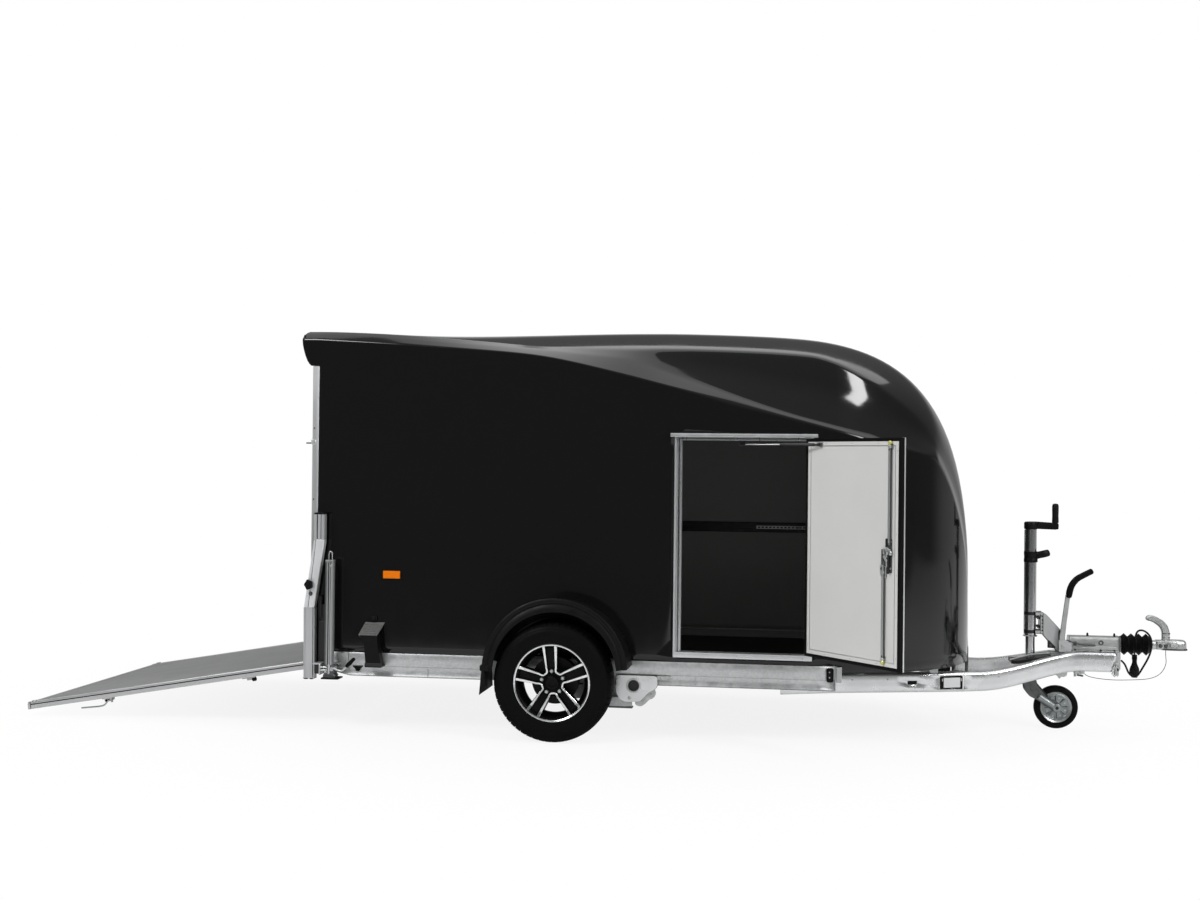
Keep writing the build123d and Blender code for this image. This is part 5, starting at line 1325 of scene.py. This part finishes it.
def make_jockey_mount():
    """The clamp that holds the column: two bands, their lugs and bolts, and two cheek plates on the bridge."""
    x = JOCKEY_X
    mount = Shape()
    for z in (507, 604):
        mount.lathe([(30.2, 0), (32.6, 0), (33.4, 1), (33.4, 16), (32.6, 17), (30.2, 17)], (x, 0, z), UP, 3, 40, True)
    for mount.side in (-1, 1):
        for z in (507, 604):
            # The thin black strips along each lug's top and bottom are painted shade at its edges.
            mount.boxes((x + 22, x + 62, 31, 34.5, z, z + 17, 2, 1.2),
                        (x + 22, x + 62, 30.6, 34.9, z - 1.4, z + 0.4, 3, 0.4),
                        (x + 22, x + 62, 30.6, 34.9, z + 16.6, z + 18.4, 3, 0.4))
        mount.box(x + 46.4, x + 49, 33, 36.4, 506, 612, 3, 0.8)
        for z in (543, 590):
            mount.rod((x + 43, 27, z), (x + 31, 27, z), 6.2, 3, 12)
            mount.rod((x + 47, 27, z), (x + 43, 27, z), 9, 3, 6)
        mount.boxes(*[(x + 55, x + 61, 33, 37.5, z, z + 8, 3, 1.5) for z in range(520, 615, 19)])
    cheek = soften([(2498, 503), (2497, 612), (2508, 612), (2526, 594), (2585, 530), (2604, 500), (2604, 408),
                    (2578, 408)], 4)
    # The cheeks have black rims and a black plate 1.8 mm wider through their middle: painted shade that outlines each
    # cheek.
    for y in (-37, 32):
        mount.prism(cheek, y, y + 5, 2, 1.0, 3)
        mount.prism(shrink(cheek, -1.8), y + 1.5, y + 3.5, 3, 0.4)
    mount.boxes((x + 47, x + 64, -33, 33, 506, 612, 2, 2), (2576, 2584, -38.5, 38.5, 410, 528, 3, 1),
                (2532, 2640, -45, 45, 402, 410, 0, 2))
    mount.prism([(2519, 474), (2528, 474), (2562, 438), (2556, 432), (2519, 434)], -44, -39, 3, soft=3)
    mount.bolt((2534, -44, 446), (0, -1, 0), 6, 1, 4)
    mount.done("jockey_mount", ["zinc_steel", "dark_steel_and_edge_shade", "bracket_steel", "black_steel"], "root", ["jockey_bracket"])


def make_jockey_wheel():
    x, top = JOCKEY_X, FORK_Z
    fork = Shape()
    for fork.side in (-1, 1):
        fork.prism([(x - 38, top), (x + 30, top), (x + 34, top - 22), (x + 96, 162), (x + 132, 152), (x + 158, 130),
                    (x + 156, 104), (x + 136, 92), (x + 116, 96), (x + 40, 150), (x - 6, 172), (x - 30, 204)], 29, 33,
                   soft=8)
        # The inner plate's black rims and the thin black strip along the fork's front edge are painted shade that
        # outlines the fork.
        fork.prism([(x - 6, top - 30), (x + 10, top - 30), (x + 78, 166), (x + 122, 132), (x + 112, 118),
                    (x + 60, 152), (x + 4, 196)], 32.6, 35, 0, 1.6, 2, soft=7)
        fork.tube([(x + 44, 34, 172), (x + 128, 34, 118)], lambda t: 17 - 3 * t, 1, 20, up=(0, 1, 0), edge=3)
        fork.prism([(x + 32, top - 18), (x + 38, top - 24), (x + 92, 176), (x + 86, 168), (x + 34, top - 30)],
                   28.6, 34.4, 2, 0.8, soft=2)
        fork.bolt((x + 18, 33, top - 60), (0, 1, 0), 5.5, 0, 3)
        fork.lathe([(5, 0), (20, 0), (21, 1.5), (21, 13), (18, 15), (9, 15.5), (8, 14), (3, 14)],
                   (CASTOR_X, 33, CASTOR_Z), (0, 1, 0), [1, 1, 1, 1, 1, 2, 2], 32)
    fork.plate(x - 37, x + 30, -33, 33, 8, top - 8, top, 0, 1.5, plane="xy")
    fork.pin(CASTOR_X, CASTOR_Z, -34, 34, 5.8)
    fork.done("jockey_fork_body", ["fork_steel", "disc_steel", "black_steel"], "jockey_swivel", ["jockey_fork"], 36)
    wheel = Shape()
    centre = (CASTOR_X, 0, CASTOR_Z)
    half = [(115, 0), (114.6, 8), (112.5, 16), (108, 21.5), (101, 24.5), (92, 25.6), (86, 24.8), (83, 21), (82, 14)]
    wheel.lathe(mirrored(half), centre, (0, 1, 0), 0, 72, True)
    wheel.done("jockey_tyre_ring", ["black_rubber"], "jockey_wheel", ["jockey_tyre"], 30)
    disc = Shape()
    face = [(6.4, 22), (9, 24.5), (20, 23.5), (23, 23), (25, 17), (30, 13), (54, 11.5), (61, 12.5), (65, 15.5),
            (69, 16), (72, 14), (76, 15.5), (81.8, 20.5), (82, 12)]

    def ribbed(n, k, r, s):
        if 28 < r < 62 and k % 12 in (0, 1):
            return r, s + (4.5 if s > 0 else -4.5)
        return r, s
    disc.lathe(face + [(r, -s) for r, s in face[::-1]], centre, (0, 1, 0),
               lambda i, j: int(i in (9, 10, 11, 14, 15, 16)), 96, True, ribbed)
    for disc.side in (-1, 1):
        for hx, hz in ring((CASTOR_X, CASTOR_Z), 50, 8, 0.58):
            disc.pin(hx, hz, 10, 14.4, 4.5, 1, 12)
        spokes = zip(ring((CASTOR_X, CASTOR_Z), 30, 8, 0.1), ring((CASTOR_X, CASTOR_Z), 58, 8, 0.1))
        for (x0, z0), (x1, z1) in spokes:
            disc.rod((x0, 13.2, z0), (x1, 13.2, z1), 1.6, 2, 6, 0.3)
    disc.done("jockey_rim_disc", ["disc_steel", "zinc_steel", "black_steel"], "jockey_wheel", ["jockey_rim"], 30)


# ---------------------------------------------------------------- ramp
RAMP_TURN = Matrix.Translation((-1338, 0, 300)) @ Matrix.Rotation(radians(-9.7), 4, "Y")
RAMP_LENGTH = 1577.0


def make_ramp():
    """The ramp lies on its slope: channel-section edges with a black strip in their groove as painted shade, and a grey
    non-slip deck.
    """
    ramp, end = Shape(RAMP_TURN), -RAMP_LENGTH
    for ramp.side in (-1, 1):
        ramp.prism([(760, 1), (760, 21), (758.6, 22), (755.5, 22), (755.5, 26.5), (758.6, 26.5), (760, 27.5),
                    (760, 36.5), (758.5, 39.5), (738, 39.5), (736, 38), (722, 38), (720, 36), (720, 1.5), (722, 0),
                    (758.5, 0)], end + 4, -9, 4, 1.2, plane="yz")
        # The black strip in the edge's groove is painted shade in that groove.
        ramp.prism([(757.5, 22), (757.5, 26.5), (755, 26.5), (755, 22)], end + 6, -10, 1, 0.3, plane="yz")
        ramp.prism([(end, 0), (end + 16, 0), (end + 16, 40), (end + 9, 40), (end, 30)], 714, 761, 2, 2,
                   soft=[1, 1, 1, 8, 8])
        ramp.boxes((end + 10, -10, 757, 760.5, 1, 3.5, 2, 0.6), (end + 16, end + 18, 757, 761.4, 1, 39, 1, 0.4),
                   (end + 26, end + 50, 742, 758, 38, 44.5, 4, 2.5))
    ramp.prism([(end, 1), (end + 40, 0), (end + 40, 38), (end + 12, 38), (end, 27)], -718, 718, 4, 1.5)
    ramp.prism([(-49, 1), (-10, 9), (-10, 36), (-14, 38), (-49, 38)], -720, 720, 4, 1.2)
    for y in (-640, -320, 0, 320, 640):
        ramp.pipe((0, y - 38, 0), (0, y + 38, 0), 13, 4.6, 3, 24)
        ramp.box(-30, -9, y - 30, y + 30, -4, 4, 3)
    ramp.done("ramp_edges", ["aluminium_profile", "black_rubber", "rear_grey", "zinc_steel", "ramp_trim"], "ramp",
              ["ramp_frame"])
    deck = Shape(RAMP_TURN)
    deck.box(end + 38, -47, -722, 722, 14, 36.8, 0, 1)
    for x in [end + 170 + 310 * k for k in range(5)]:
        deck.prism([(x, 14), (x + 8, 2), (x + 42, 2), (x + 50, 14)], -721, 721, 1)
    deck.done("ramp_deck", ["ramp_board", "aluminium_profile"], "ramp", ["ramp_panel"])


def make_ramp_latches():
    """On each side a handle in its bracket with the rod that it turns, and a spring catch nearer the hinge."""
    latch = Shape(RAMP_TURN)
    for side in (-1, 1):
        y = side * 700.0
        latch.boxes((-1170, -1112, y - 22, y + 22, -8, 2, 0, 2), (-1160, -1138, y - 16, y + 16, -24, -5, 0, 3),
                    (-1134, -1116, y - 12, y + 18, -20, -5, 2, 3), (-376, -306, y - 14, y + 14, -9, 2, 2, 2),
                    (-352, -322, y - 10, y + 10, -20, -7, 0, 3))
        latch.pin(-1148, -16, y - 20, y + 20, 6.5, 1, 14)
        latch.rod((-1122, y + side * 8, -30), (-1122, y + side * 8, -6), 6, 2, 14)
        latch.tube([(-1138, y, -18), (-1150, y, -22), (-1172, y, -42), (-1200, y, -44), (-1304, y, -38)], 4.2, 2, 12,
                   14)
        latch.rod((-324, y, -18), (-302, y, -18), 10.5, 1, 20, 3)
    latch.done("ramp_latch_pair", ["zinc_steel", "black_plastic", "bracket_steel"], "ramp", ["ramp_latches"])


for make in (make_rails, make_arms, make_axle, make_hitch, make_coupling, make_brake_lever, make_plug,
             make_jockey_column, make_jockey_mount, make_jockey_wheel, make_ramp, make_ramp_latches):
    make()


# ---------------------------------------------------------------- cords
def cord_curve(name, route, diameter_mm, slot):
    curve = bpy.data.curves.new(name, "CURVE")
    curve.dimensions = "3D"
    curve.bevel_depth = diameter_mm / 2000
    curve.bevel_resolution, curve.resolution_u = 4, 10
    curve.use_fill_caps = True
    spline = curve.splines.new("NURBS")
    spline.points.add(len(route) - 1)
    for point, place in zip(spline.points, route):
        point.co = (*at(*place), 1)
    spline.order_u = 3
    spline.use_endpoint_u = True
    piece = add_object(name, curve)
    curve.materials.append(MATERIALS[slot])
    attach(piece, "root")
    return piece


CABLE_ROUTE = [(2894, -52.3, 379.5), (2909, -60, 367), (2918, -71, 343), (2926, -79, 319), (2943, -85, 301),
               (2967, -87, 302), (2982, -87, 322), (2999, -87, 353), (3019, -86, 388), (3035, -84, 425),
               (3044, -80, 464), (3042, -72, 500), (3031, -58, 524), (3015, -34, 537), (3001, -4, 537),
               (2993, 29, 526), (2990, 57, 502), (2989, 73, 470), (2988, 75.5, 443), (2987, 69, 420),
               (2986, 60, 401.7)]
WIRE_ROUTE = [(2700, -40, 330), (2702, -42, 308), (2722, -50, 291), (2762, -60, 283), (2812, -72, 279),
              (2868, -84, 279), (2926, -92, 283), (2976, -94, 286), (3026, -90, 291), (3075, -76, 306),
              (3108, -58, 334), (3126, -42, 371), (3124, -32, 408), (3124, -32, 440)]
cable = cord_curve("trailer_cable_flex", CABLE_ROUTE, 10, "black_cable")
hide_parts("trailer_cable")
wire = cord_curve("breakaway_wire_rope", WIRE_ROUTE, 3.2, "wire_rope")
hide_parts("breakaway_wire")
